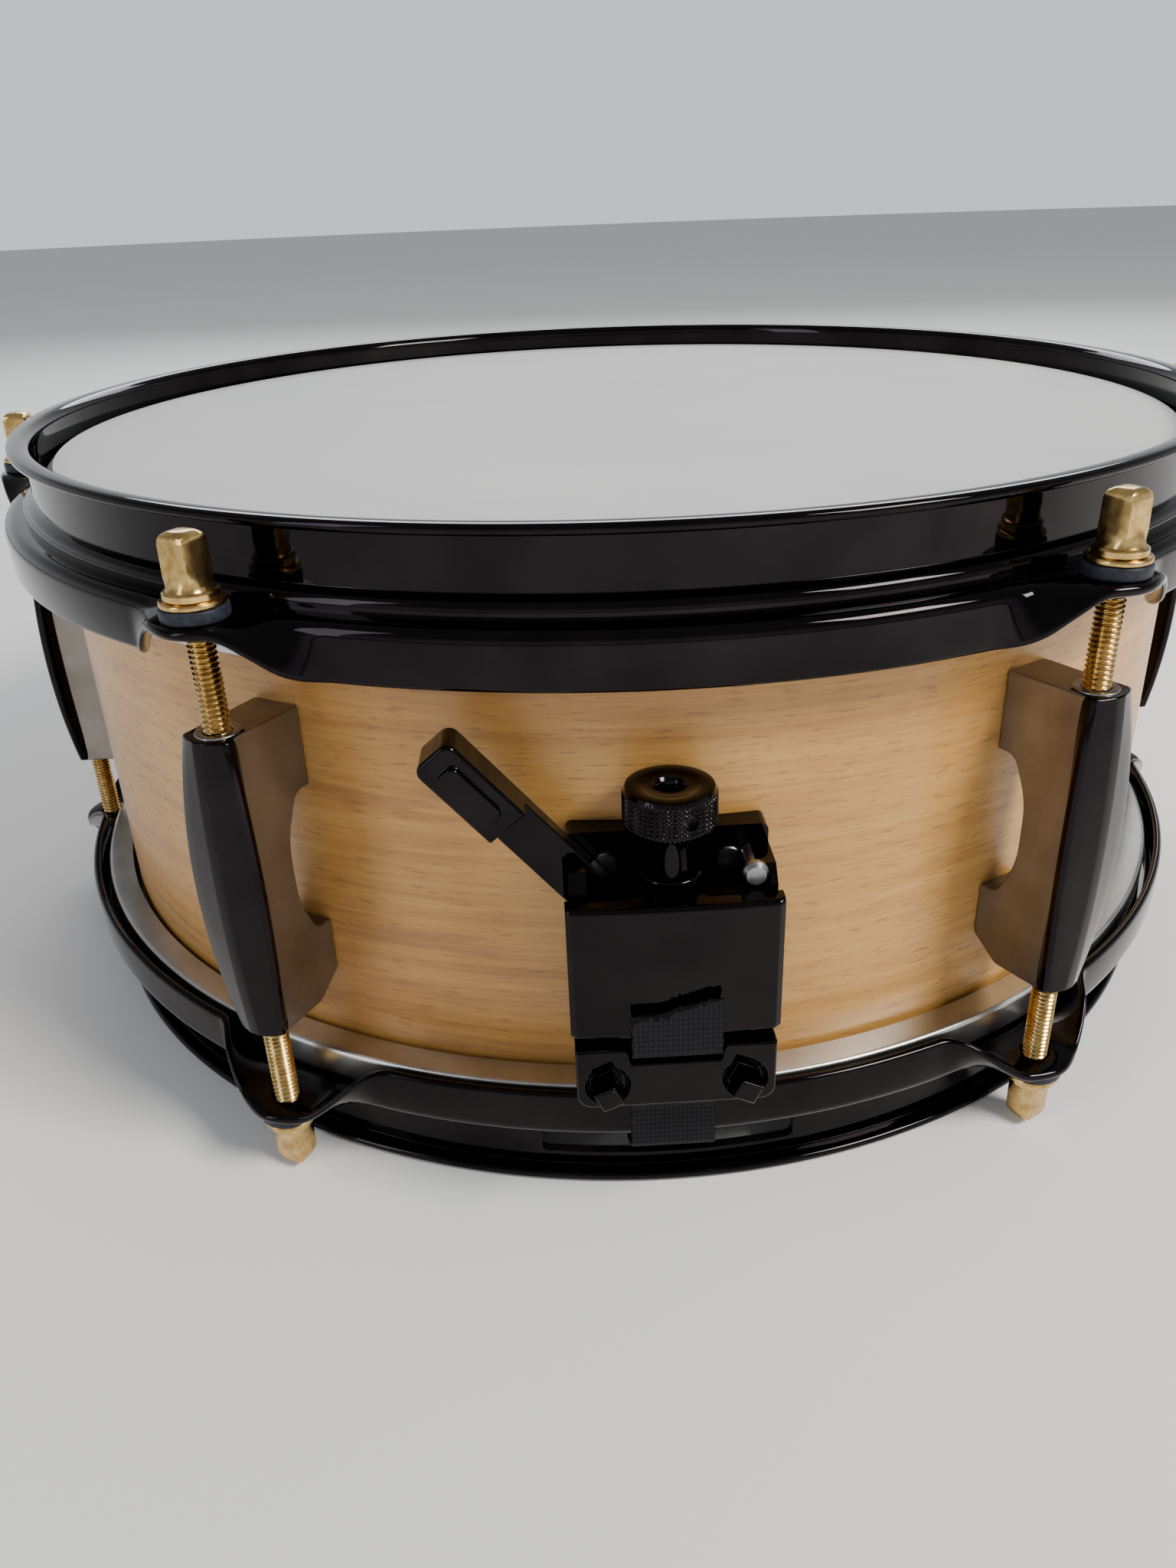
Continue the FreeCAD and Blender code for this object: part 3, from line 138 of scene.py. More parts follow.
def turned(profile, count=96, centre=(0.0, 0.0)):
    """A profile of (radius, height) pairs turned once about an upright line:
    x = cx + r sin a, y = cy - r cos a, z = height."""
    profile = np.asarray(profile, float)
    a = angles(count)
    x = centre[0] + profile[:, :1] * np.sin(a)
    y = centre[1] - profile[:, :1] * np.cos(a)
    z = np.broadcast_to(profile[:, 1:], x.shape)
    return np.stack([x, y, z], -1)


def placed(points, azimuth, under=False):
    """A grid made at the front, turned to an azimuth; under turns it over for the lower end."""
    x, y, z = points[..., 0], points[..., 1], points[..., 2]
    if under:
        x, z = -x, HEIGHT - z
    a = math.radians(azimuth)
    return np.stack([x * math.cos(a) - y * math.sin(a), x * math.sin(a) + y * math.cos(a), z], -1)


def everywhere(points):
    """One grid copied to all twelve rods."""
    return np.stack([placed(points, a, under) for a in LUG_AZIMUTHS for under in (False, True)])


def softened(corners, cuts, steps=6):
    """Round a path's inner corners: near a corner V it follows the curve
    (1-t)^2 A + 2 t (1-t) V + t^2 B, where A and B lie a cut's length before and after V.
    corners is (..., n, 2), so a whole fan of paths is rounded at once."""
    corners = np.asarray(corners, float)
    t = np.linspace(0, 1, steps)[:, None]
    made = [corners[..., :1, :]]
    for k, cut in enumerate(cuts, start=1):
        v = corners[..., k : k + 1, :]
        to_before = corners[..., k - 1 : k, :] - v
        to_after = corners[..., k + 1 : k + 2, :] - v
        a = v + to_before / np.linalg.norm(to_before, axis=-1, keepdims=True) * cut
        b = v + to_after / np.linalg.norm(to_after, axis=-1, keepdims=True) * cut
        made.append((1 - t) ** 2 * a + 2 * t * (1 - t) * v + t**2 * b)
    made.append(corners[..., -1:, :])
    return np.concatenate(made, -2)


def thickened(path, thick, steps=5):
    """The closed outline of a sheet whose middle line is path, with half-round edges. Its sides
    are path +/- normal * thick / 2, and each edge is a half circle about the path's end."""
    along = np.gradient(path, axis=-2)
    along /= np.linalg.norm(along, axis=-1, keepdims=True)
    aside = np.stack([-along[..., 1], along[..., 0]], -1)
    half = thick / 2
    t = np.linspace(math.pi / 2, -math.pi / 2, steps + 2)[1:-1, None]
    end = path[..., -1:, :] + (aside[..., -1:, :] * np.sin(t) + along[..., -1:, :] * np.cos(t)) * half
    start = path[..., :1, :] - (aside[..., :1, :] * np.sin(t) + along[..., :1, :] * np.cos(t)) * half
    return np.concatenate([path + aside * half, end, (path - aside * half)[..., ::-1, :], start], -2)


def smoothstep(value, low, high):
    """0 below low, 1 above high, and the S curve s^2 (3 - 2 s) between them."""
    s = np.clip((value - low) / (high - low), 0, 1)
    return s * s * (3 - 2 * s)


# %% [markdown]
# ## Making a piece
#
# Each piece is an object at the origin with its place in its mesh. It rides on a body of the
# frame, takes one of the finishes, and may stand for a plain node.


# %% Piece helpers
def add_piece(name, mesh, body, finish, stands_for=()):
    """Link a mesh as a finished piece."""
    made = bpy.data.objects.new(name, mesh)
    bpy.context.scene.collection.objects.link(made)
    mesh.materials.clear()
    mesh.materials.append(finish)
    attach(made, body)
    if stands_for:
        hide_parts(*stands_for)
    print(f"{name}: {len(mesh.polygons)} faces")
    return made


def without(mesh, cutter, sharp=35):
    """The mesh with another one taken away from it."""
    body = bpy.data.objects.new("body", mesh)
    tool = bpy.data.objects.new("tool", cutter)
    for item in (body, tool):
        bpy.context.scene.collection.objects.link(item)
    cut = body.modifiers.new("Cut", "BOOLEAN")
    cut.object = tool
    cut.solver = "EXACT"
    bpy.context.view_layer.update()
    evaluated = body.evaluated_get(bpy.context.evaluated_depsgraph_get())
    result = bpy.data.meshes.new_from_object(evaluated)
    for item in (body, tool):
        bpy.data.objects.remove(item)
    result.shade_smooth()
    result.set_sharp_from_angle(angle=math.radians(sharp))
    return result


def softened_edges(obj, width, segments=2):
    """Break a piece's sharp edges by a width in mm, and keep its flat faces flat."""
    bevel = obj.modifiers.new("Edges", "BEVEL")
    bevel.width = width * MM
    bevel.segments = segments
    bevel.limit_method = "ANGLE"
    bevel.angle_limit = math.radians(32)
    even = obj.modifiers.new("Even", "WEIGHTED_NORMAL")
    even.keep_sharp = True
    return obj


def merged_copy(node):
    """A copy of a node's mesh with its triangles joined and its flat faces made whole."""
    work = bmesh.new()
    work.from_mesh(frame["nodes"][node].data)
    bmesh.ops.remove_doubles(work, verts=work.verts, dist=0.002 * MM)
    bmesh.ops.dissolve_limit(work, angle_limit=math.radians(0.8), verts=work.verts, edges=work.edges)
    mesh = bpy.data.meshes.new(node)
    work.to_mesh(mesh)
    work.free()
    mesh.shade_smooth()
    mesh.set_sharp_from_angle(angle=math.radians(35))
    return mesh


def body_of(node):
    """The name of the body that holds a node."""
    groups = frame["record"]["behaviour"]["bodies"]
    return next(name for name, members in groups.items() if node in members)


def polished(node, finish, edge):
    """A node's own shape with its edges broken, standing for the node."""
    made = add_piece(f"{node}_look", merged_copy(node), body_of(node), finish, [node])
    return softened_edges(made, edge)


# %% [markdown]
# ## Shader maths that reads like maths
#
# A material is a graph of nodes. Wrapping a socket in a small class lets us write 1 - mask or
# grain * 0.4 + 0.1, and each operator adds its Math node. Everything else comes from one method.


# %% A socket class and a finish class
class Value:
    """One output socket, with the operators that the finishes use."""

    def __init__(self, finish, socket):
        self.finish = finish
        self.socket = socket

    def maths(self, operation, other, swap=False):
        pair = (other, self) if swap else (self, other)
        return self.finish.node("ShaderNodeMath", {"operation": operation}, {0: pair[0], 1: pair[1]})

    def __add__(self, other):
        return self.maths("ADD", other)

    def __sub__(self, other):
        return self.maths("SUBTRACT", other)

    def __rsub__(self, other):
        return self.maths("SUBTRACT", other, swap=True)

    def __mul__(self, other):
        return self.maths("MULTIPLY", other)

    __radd__ = __add__
    __rmul__ = __mul__


class Finish:
    """A material on the Principled shader, with its nodes made by one method."""

    def __init__(self, name, **constants):
        self.material = bpy.data.materials.new(name)
        self.material.use_nodes = True
        self.tree = self.material.node_tree
        self.shader = self.tree.nodes["Principled BSDF"]
        for key, value in constants.items():
            self.shader.inputs[key.replace("_", " ")].default_value = value

    def node(self, kind, settings=None, sockets=None, take=0):
        """Add a node: its settings first, then its sockets' values or links."""
        made = self.tree.nodes.new(kind)
        for key, value in (settings or {}).items():
            if key == "stops":
                self.fill_ramp(made.color_ramp, value)
            else:
                setattr(made, key, value)
        for key, value in (sockets or {}).items():
            self.feed(made.inputs[key], value)
        return Value(self, made.outputs[take])

    def fill_ramp(self, ramp, stops):
        while len(ramp.elements) < len(stops):
            ramp.elements.new(0.5)
        for element, (at, colour) in zip(ramp.elements, stops):
            element.position = at
            element.color = (*colour, 1)

    def feed(self, socket, value):
        if isinstance(value, Value):
            self.tree.links.new(value.socket, socket)
        else:
            socket.default_value = value

    def set(self, **sockets):
        for key, value in sockets.items():
            self.feed(self.shader.inputs[key.replace("_", " ")], value)

    def place_on(self, scale, source="Object"):
        """The piece's own coordinates, scaled; source may be UV."""
        from_piece = self.node("ShaderNodeTexCoord", take=source)
        return self.node("ShaderNodeMapping", None, {"Vector": from_piece, "Scale": scale})

    def noise(self, where, scale, detail=4.0, roughness=0.5):
        sockets = {"Vector": where, "Scale": scale, "Detail": detail, "Roughness": roughness}
        return self.node("ShaderNodeTexNoise", None, sockets)

    def ramp(self, value, *stops):
        return self.node("ShaderNodeValToRGB", {"stops": stops}, {"Fac": value})

    def between(self, value, low, high):
        """0 below low and 1 above high, by a smooth step."""
        settings = {"interpolation_type": "SMOOTHSTEP"}
        return self.node("ShaderNodeMapRange", settings, {0: value, 1: low, 2: high, 3: 0.0, 4: 1.0})

    def mix(self, share, one, other):
        settings = {"data_type": "RGBA"}
        return self.node("ShaderNodeMix", settings, {0: share, 6: one, 7: other}, take=2)

    def bump(self, height, distance, strength=1.0):
        sockets = {"Height": height, "Distance": distance * MM, "Strength": strength}
        self.set(Normal=self.node("ShaderNodeBump", None, sockets))


# %% [markdown]
# ## Maple
#
# The shell is rolled from maple veneers, so the grain runs round the drum. The shell's own flat
# map gives metres round and metres up. Noise stretched along the first makes grain lines, a
# finer one makes the short dark flecks, and a broad one the slow change from board to board.
# A thin satin coat lies over it.


# %% Wood
def maple():
    finish = Finish("maple_wood", Coat_Weight=0.22, Coat_Roughness=0.24, IOR=1.5)
    broad = finish.noise(finish.place_on((5, 9, 1), "UV"), 1.0, 3.0)
    lines = finish.noise(finish.place_on((9, 330, 1), "UV"), 1.0, 6.0, 0.62)
    fine = finish.noise(finish.place_on((60, 1700, 1), "UV"), 1.0, 3.0)
    figure = finish.noise(finish.place_on((38, 7, 1), "UV"), 1.0, 3.0)
    flecks = finish.between(finish.noise(finish.place_on((170, 1500, 1), "UV"), 1.0, 2.0), 0.58, 0.68)
    streaks = finish.between(finish.noise(finish.place_on((13, 115, 1), "UV"), 1.0, 5.0, 0.6), 0.57, 0.70)
    tone = lines * 0.34 + broad * 0.42 + figure * 0.16 + fine * 0.12
    dark, middle, pale = (0.34, 0.152, 0.034), (0.50, 0.248, 0.060), (0.62, 0.342, 0.098)
    wood = finish.ramp(tone, (0.42, dark), (0.52, middle), (0.63, pale))
    marked = finish.mix(flecks * 0.5, wood, (0.22, 0.095, 0.032, 1))
    finish.set(Base_Color=finish.mix(streaks * 0.6, marked, (0.27, 0.115, 0.036, 1)))
    finish.set(Roughness=lines * 0.14 + 0.30 + flecks * 0.1)
    finish.bump(lines * 0.6 - flecks * 0.5 + fine * 0.3, 0.05, 0.35)
    return finish.material


MAPLE = maple()

# %% [markdown]
# ## Plated metal
#
# Black nickel is a mirror with a dark, slightly warm reflection. Its flat castings are plated
# over a brushed ground and look satin. The rods are yellow passivated steel, which is uneven.


# %% Metals
def black_nickel():
    finish = Finish("black_nickel", Metallic=1.0)
    cloud = finish.noise(finish.place_on((1, 1, 1)), 55.0, 5.0)
    grain = finish.noise(finish.place_on((1, 1, 9)), 900.0, 2.0)
    finish.set(Base_Color=finish.ramp(cloud, (0.3, (0.013, 0.011, 0.012)), (0.7, (0.021, 0.018, 0.019))))
    finish.set(Roughness=cloud * 0.05 + grain * 0.02 + 0.015)
    finish.bump(cloud, 0.006, 0.2)
    return finish.material


def brushed_casting():
    finish = Finish("satin_nickel", Metallic=1.0)
    cloud = finish.noise(finish.place_on((1, 1, 1)), 70.0, 5.0)
    lines = finish.noise(finish.place_on((300, 300, 14)), 6.0, 3.0)
    finish.set(Base_Color=finish.ramp(cloud, (0.3, (0.20, 0.178, 0.152)), (0.7, (0.31, 0.28, 0.245))))
    finish.set(Roughness=lines * 0.16 + cloud * 0.1 + 0.22)
    finish.bump(lines, 0.03, 0.3)
    return finish.material


def metal(name, dark, light, rough, spread=0.12, grain=420.0):
    """A metal whose colour and gloss wander a little between two tones."""
    finish = Finish(name, Metallic=1.0)
    cloud = finish.noise(finish.place_on((1, 1, 1)), grain, 5.0, 0.6)
    finish.set(Base_Color=finish.ramp(cloud, (0.32, dark), (0.68, light)))
    finish.set(Roughness=cloud * spread + rough)
    finish.bump(cloud, 0.015, 0.3)
    return finish.material


NICKEL = black_nickel()
CASTING = brushed_casting()
GOLD = metal("gold_brass", (0.42, 0.25, 0.075), (0.78, 0.54, 0.21), 0.15)
ALUMINIUM = metal("satin_aluminium", (0.46, 0.45, 0.43), (0.63, 0.62, 0.60), 0.24, 0.16, 60.0)
STEEL = metal("bright_steel", (0.27, 0.27, 0.28), (0.42, 0.42, 0.43), 0.24)
WIRE = metal("snare_wire", (0.50, 0.50, 0.52), (0.72, 0.72, 0.74), 0.18)

# %% [markdown]
# ## Heads, nylon and webbing
#
# The batter head is a clear film sprayed with a matt white coat that feels like fine sandpaper.
# The snare side is bare film. The straps are plain woven tape, so their pattern follows the
# strap's own map: metres along and metres across.


# %% Plastics and cloth
def coated_film():
    finish = Finish("coated_film", IOR=1.45)
    spray = finish.noise(finish.place_on((1, 1, 1)), 2600.0, 3.0, 0.6)
    blotch = finish.noise(finish.place_on((1, 1, 1)), 14.0, 4.0)
    tone = blotch * 0.8 + spray * 0.2
    finish.set(Base_Color=finish.ramp(tone, (0.3, (0.50, 0.515, 0.51)), (0.7, (0.57, 0.58, 0.565))))
    finish.set(Roughness=spray * 0.16 + 0.52)
    finish.bump(spray, 0.05, 0.5)
    return finish.material


def clear_film():
    finish = Finish("clear_film", IOR=1.5)
    haze = finish.noise(finish.place_on((1, 1, 1)), 30.0, 4.0)
    finish.set(Base_Color=(0.80, 0.82, 0.82, 1), Alpha=haze * 0.12 + 0.34)
    finish.set(Roughness=haze * 0.15 + 0.1)
    return finish.material


def moulded_nylon():
    finish = Finish("black_nylon", Specular_IOR_Level=0.22)
    speck = finish.noise(finish.place_on((1, 1, 1)), 900.0, 3.0)
    finish.set(Base_Color=finish.ramp(speck, (0.3, (0.012, 0.014, 0.02)), (0.7, (0.028, 0.032, 0.045))))
    finish.set(Roughness=speck * 0.2 + 0.34)
    finish.bump(speck, 0.02, 0.4)
    return finish.material


def webbing():
    finish = Finish("black_webbing", Specular_IOR_Level=0.18)
    settings = {"wave_type": "BANDS", "bands_direction": "X"}
    sockets = {"Vector": finish.place_on((1, 1, 1), "UV"), "Scale": 260.0, "Distortion": 0.6, "Detail": 1.0}
    weft = finish.node("ShaderNodeTexWave", settings, sockets)
    settings = {"wave_type": "BANDS", "bands_direction": "Y"}
    warp = finish.node("ShaderNodeTexWave", settings, {**sockets, "Scale": 330.0})
    fuzz = finish.noise(finish.place_on((900, 900, 1), "UV"), 1.0, 4.0)
    weave = weft * warp + fuzz * 0.35
    finish.set(Base_Color=finish.ramp(weave, (0.1, (0.002, 0.002, 0.003)), (0.9, (0.011, 0.011, 0.014))))
    finish.set(Roughness=fuzz * 0.2 + 0.62)
    finish.bump(weave, 0.12, 0.7)
    return finish.material


COATED = coated_film()
CLEAR = clear_film()
NYLON = moulded_nylon()
WEBBING = webbing()
print("finishes:", len(bpy.data.materials))

# %% [markdown]
# ## The shell
#
# A plain tube with a bevelled edge at each end. It's a profile turned about the axis, so every
# point is r sin a, -r cos a, z. Only the vent's hole is cut: the screws' holes are under lugs.
# The flat map starts at the back, where a real shell has its seam.


# %% Shell
def shell_mesh():
    wall, low, high = 6.0, 7.4, HEIGHT - 7.4
    inner = SHELL_RADIUS - wall
    outside = [(SHELL_RADIUS, z) for z in np.linspace(low + 2.0, high - 2.0, 9)]
    profile = [(inner, low + 5.3), (149.3, low), (150.0, low), *outside, (150.0, high), (149.3, high)]
    profile = np.array([*profile, (inner, high - 5.3)])
    a = angles(360, math.pi)
    x, y = profile[:, :1] * np.sin(a), -profile[:, :1] * np.cos(a)
    rows = np.stack(np.broadcast_arrays(x, y, profile[:, 1:]), -1)
    around = np.append(a, math.pi + TAU) * SHELL_RADIUS
    up = np.append(profile[:, 1], profile[0, 1])
    flat = np.stack(np.broadcast_arrays(around[None, :], up[:, None]), -1) * MM
    mesh = surface("shell", rows, along=True, flat=flat)
    drill = turned([(0.01, 120.0), (5.9, 120.0), (5.9, 170.0), (0.01, 170.0)], 48)
    lying = np.stack([drill[..., 0], -drill[..., 2], drill[..., 1] + HEIGHT / 2], -1)
    return without(mesh, surface("drill", placed(lying, 120)))


add_piece("maple_shell", shell_mesh(), "drum", MAPLE, ["shell"])

# %% [markdown]
# ## Flesh hoops
#
# The ring that holds a head's edge is pressed aluminium. It shows as a bright rounded band
# between the shell and the skirt of the hoop, so its top has a generous radius.


# %% Flesh hoops
def flesh_hoop_mesh(under):
    low, high = 119.45, 127.85
    path = [(153.3, low), (160.0, low), (160.0, high), (153.0, high), (153.0, low)]
    ring = softened(path, [1.2, 2.6, 1.0])[:-1]
    return surface("flesh_hoop", placed(turned(ring, 360), 0, under), along=True)


for side, under in (("batter", False), ("snare", True)):
    mesh = flesh_hoop_mesh(under)
    add_piece(f"{side}_flesh_ring", mesh, "drum", ALUMINIUM, [f"{side}_flesh_hoop"])

# %% [markdown]
# ## The flanged hoops
#
# Each hoop is one sheet: a lip, a wall, a small step and a skirt that folds down. At each rod
# the skirt rises until it's level and becomes a rounded ear. We draw the sheet's middle line
# at every azimuth, with the fold's angle and the strip's length as smooth functions of the
# distance to the nearest rod, round its corners, and give it its thickness.

# %% Hoop sections
SHEET = 2.2
FOLD_RADIUS = 164.2
EAR_REACH = 14.2
SKIRT_REACH = 9.5
HANG_FROM_TO = (2.2, 8.6)
EAR_HALF = 5.2
GATE_HALF = 28.0
GATE_LOW = 5.6
GATE_HIGH = 13.8


def hoop_azimuths():
    """Azimuths in degrees round the drum, close together at the ears."""
    near = np.linspace(-9.6, 9.6, 65)
    far = np.linspace(9.6, 50.4, 35)[1:-1]
    return np.concatenate([np.append(near, far) + 60 * k + 30 for k in range(6)])


def hoop_sections(azimuths):
    """The sheet's outline at each azimuth, as (radius, height) loops."""
    away = np.abs((azimuths - 30 + 30) % 60 - 30)
    hang = np.radians(90 * smoothstep(away, *HANG_FROM_TO))
    reach = EAR_REACH + (SKIRT_REACH - EAR_REACH) * smoothstep(away, 0, EAR_HALF)
    out = np.stack([np.cos(hang), -np.sin(hang)], -1)
    normal = np.stack([np.sin(hang), np.cos(hang)], -1)
    bisector = np.stack([np.sin(hang / 2), np.cos(hang / 2)], -1) / np.cos(hang / 2)[:, None]
    hinge = np.array([FOLD_RADIUS - SHEET, EAR_TOP - SHEET])
    fold = hinge + bisector * SHEET / 2
    tip = hinge + out * (reach[:, None] - SHEET / 2) + normal * SHEET / 2
    lip = HEIGHT - SHEET / 2
    fixed = [(158.5, lip), (155.1, lip), (155.1, 133.5), (157.9, 132.3), (157.9, EAR_TOP - SHEET / 2)]
    fixed = np.broadcast_to(np.array(fixed), (len(azimuths), 5, 2))
    corners = np.concatenate([fixed, fold[:, None], tip[:, None]], 1)
    return thickened(softened(corners, [1.6, 1.0, 0.9, 0.9, 2.0], 7), SHEET)


def hoop_mesh(under):
    azimuths = hoop_azimuths()
    loops = hoop_sections(azimuths)
    a = np.radians(azimuths)[:, None]
    points = np.stack([loops[..., 0] * np.sin(a), -loops[..., 0] * np.cos(a), loops[..., 1]], -1)
    mesh = surface("hoop", placed(points, 0, under), along=True, sharp=50)
    holes = everywhere(turned([(3.3, 120.0), (3.3, 136.0)], 32, (0.0, -ROD_CIRCLE)))
    mesh = without(mesh, surface("holes", holes[1 if under else 0 :: 2]), 50)
    return without(mesh, gate_cutter(), 50) if under else mesh


def gate_cutter():
    """A long bar with round corners across the whole drum, which opens both gates."""
    right = [(0, GATE_LOW), (GATE_HALF, GATE_LOW), (GATE_HALF, GATE_HIGH)]
    corners = right + [(-GATE_HALF, GATE_HIGH), (-GATE_HALF, GATE_LOW), (0, GATE_LOW)]
    outline = softened(corners, [1.5] * 4, 5)[:-1]
    reach = np.array([-156.9, 156.9])[:, None]
    x = np.broadcast_to(outline[:, 0], (2, len(outline)))
    return surface("gate", np.stack(np.broadcast_arrays(x, reach, outline[:, 1]), -1))


for side, under in (("batter", False), ("snare", True)):
    add_piece(f"{side}_flanged_hoop", hoop_mesh(under), "drum", NICKEL, [f"{side}_hoop"])

# %% [markdown]
# ## Tension rods
#
# A rod is a surface in angle and height: its radius is the shank's, less the thread's depth
# where 2 pi z / pitch - angle says that we're in the groove. Above the flange the same radius
# becomes h / (|cos a|^n + |sin a|^n)^(1/n), which runs from a circle at n = 2 to a crisp square
# at n = 12: the key head.

# %% Rod surface
PITCH = 1.06
ROD_RADIUS = 2.75
THREAD_DEPTH = 0.5


def rod_grid():
    a = angles(24)
    z = np.arange(HEIGHT - 54.6, EAR_TOP - 1.0, PITCH / 8)[:, None]
    groove = 0.5 - 0.5 * np.cos(TAU * z / PITCH - a)
    run_in = smoothstep(z, z.min(), z.min() + 1.5)
    run_out = smoothstep(-z, -EAR_TOP, -EAR_TOP + 2)
    shank = ROD_RADIUS - THREAD_DEPTH * groove ** 0.8 * run_in * run_out
    seat = EAR_TOP + 3.82
    rows = [
        (seat, 2.75, 2), (seat + 0.01, 5.0, 2), (seat + 0.25, 5.2, 2), (seat + 1.3, 5.2, 2),
        (seat + 1.58, 4.9, 2), (seat + 1.7, 4.35, 2.2), (seat + 2.2, 3.95, 2.6), (seat + 3.0, 3.62, 3.6),
        (seat + 4.2, 3.35, 8), (seat + 5.6, 3.24, 12), (seat + 10.2, 3.18, 12), (seat + 11.1, 3.02, 9),
        (seat + 11.7, 2.7, 5), (seat + 12.05, 2.1, 4), (seat + 12.17, 1.2, 3), (seat + 12.18, 0.2, 2),
    ]
    height, half, power = (np.array(column)[:, None] for column in zip(*rows))
    round_off = (np.abs(np.cos(a)) ** power + np.abs(np.sin(a)) ** power) ** (1 / power)
    radius = np.concatenate([shank, half / round_off])
    up = np.concatenate([z, height])
    x = radius * np.sin(a)
    y = -ROD_CIRCLE - radius * np.cos(a)
    return np.stack(np.broadcast_arrays(x, y, up), -1)


rod = rod_grid()
for end, under in (("top", False), ("bottom", True)):
    for number, azimuth in enumerate(LUG_AZIMUTHS, start=1):
        mesh = surface("rod", placed(rod, azimuth, under), sharp=33)
        node = f"tension_rod_{end}_{number}"
        add_piece(f"threaded_rod_{end}_{number}", mesh, f"rod_{end}_{number}", GOLD, [node])

# %% [markdown]
# ## Washers and inserts
#
# Each is a small closed ring with soft edges. One grid is made straight ahead at the upper rods'
# height, and its twelve turned copies become one piece.


# %% Rings at all rods
def ring_grid(inner, outer, low, high, soft):
    start = [(inner, (low + high) / 2), (inner, low), (outer, low)]
    path = start + [(outer, high), (inner, high), (inner, low + 0.5)]
    ring = softened(path, [soft] * 4, 4)[:-1]
    return turned(ring, 32, (0.0, -ROD_CIRCLE))


def ring_piece(name, grid, finish, node):
    add_piece(name, surface(name, everywhere(grid), along=True), "drum", finish, [node])


lug_top = HEIGHT / 2 + 34.0
nylon = ring_grid(2.95, 6.4, EAR_TOP + 0.02, EAR_TOP + 2.6, 0.5)
washer = ring_grid(2.95, 6.1, EAR_TOP + 2.62, EAR_TOP + 3.8, 0.45)
insert = ring_grid(2.85, 4.45, lug_top - 1.0, lug_top + 0.3, 0.25)
ring_piece("nylon_washers", nylon, NYLON, "rod_nylon_washers")
ring_piece("gold_washers", washer, GOLD, "rod_metal_washers")
ring_piece("insert_rings", insert, STEEL, "lug_inserts")

# %% [markdown]
# ## Lugs
#
# A lug is a bridge: a flat casting that touches the shell at each end, and a polished leaf on
# its front that is widest at mid height. The casting is an outline given width, and the leaf a
# section whose half width and reach swell by 1 - s^2, with s from -1 at one end to 1 at the other.


# %% Lug surfaces
def casting_grid():
    """The casting's outline in radius and height, given at both of its sides."""
    top, bottom, arch = HEIGHT / 2 + 34.0, HEIGHT / 2 - 34.0, 16.5
    middle = HEIGHT / 2
    corners = [
        (160.0, top), (SHELL_RADIUS + 0.1, top), (SHELL_RADIUS + 0.1, middle + arch),
        (156.2, middle + arch), (160.3, middle + arch - 9), (160.3, middle - arch + 9),
        (156.2, middle - arch), (SHELL_RADIUS + 0.1, middle - arch), (SHELL_RADIUS + 0.1, bottom + 5),
        (158.5, bottom), (171.0, bottom), (171.0, top), (160.0, top),
    ]
    loop = softened(corners, [0.4, 0.5, 2.2, 4.5, 4.5, 2.2, 0.5, 0.5, 1.0, 0.4, 0.4], 5)[:-1]
    across = np.array([-5.5, 5.5])[:, None]
    return np.stack(np.broadcast_arrays(across, -loop[:, 0], loop[:, 1]), -1)


def leaf_grid():
    s = np.linspace(-1, 1, 41)[:, None]
    swell = 1 - s * s
    half = 5.6 + 3.4 * swell
    front = 172.6 + 1.6 * swell
    one = np.ones_like(s)
    side = [
        (5.0 * one, 165.6 * one), (5.05 * one, front - 4.6), (5.2 + 0.25 * (half - 5.2), front - 3.4),
        (5.2 + 0.65 * (half - 5.2), front - 2.6), (half - 0.05, front - 2.1), (half, front - 0.9),
        (half - 0.35, front - 0.2), (half - 0.9, front + 0.05), (half * 0.5 + 0.7, front + 0.72),
        (1.5 * one, front + 1.32), (1.1 * one, front + 1.48),
    ]
    x = np.concatenate([p[0] for p in side] + [-p[0] for p in side[::-1]], 1)
    r = np.concatenate([p[1] for p in side] + [p[1] for p in side[::-1]], 1)
    z = HEIGHT / 2 + 34.0 * s
    return np.stack(np.broadcast_arrays(x, -r, z), -1)


for number, azimuth in enumerate(LUG_AZIMUTHS, start=1):
    mesh = surface("casting", placed(casting_grid(), azimuth), sharp=30)
    node = f"lug_casing_{number}"
    casting = add_piece(f"lug_casting_{number}", mesh, "drum", CASTING, [node])
    softened_edges(casting, 0.35)
    mesh = surface("leaf", placed(leaf_grid(), azimuth), sharp=28)
    leaf = add_piece(f"lug_leaf_{number}", mesh, "drum", NICKEL)
    softened_edges(leaf, 0.3)

# %% [markdown]
# ## The strainer
#
# Its castings already have the right shape in the frame. A copy with its triangles joined and
# its edges broken gives the highlights that an edge on a real casting shows.

# %% Strainer castings
EDGES = {
    "strainer_base": 0.35, "throw_off_lever": 0.3, "strainer_slide": 0.25, "strainer_cover": 0.3,
    "strainer_clamp": 0.25, "butt_base": 0.4, "butt_clamp": 0.25, "strainer_clamp_screws": 0.3,
    "butt_clamp_screws": 0.3, "knob_collar": 0.4,
}
for node, edge in EDGES.items():
    polished(node, NICKEL, edge)

# %% [markdown]
# ## The knurled knob
#
# A knurl is two sets of grooves that cross. With u and v counting the grooves of each set, the
# height of a tooth is the smaller of two triangle waves, which gives rows of small pyramids.

# %% Knob
KNOB_AXIS = (0.0, -161.4)
KNOB_RADIUS = 9.0
TEETH = 62


def triangle_wave(value):
    """1 halfway between two grooves and 0 in a groove."""
    return 1 - np.abs(2 * (value % 1) - 1)


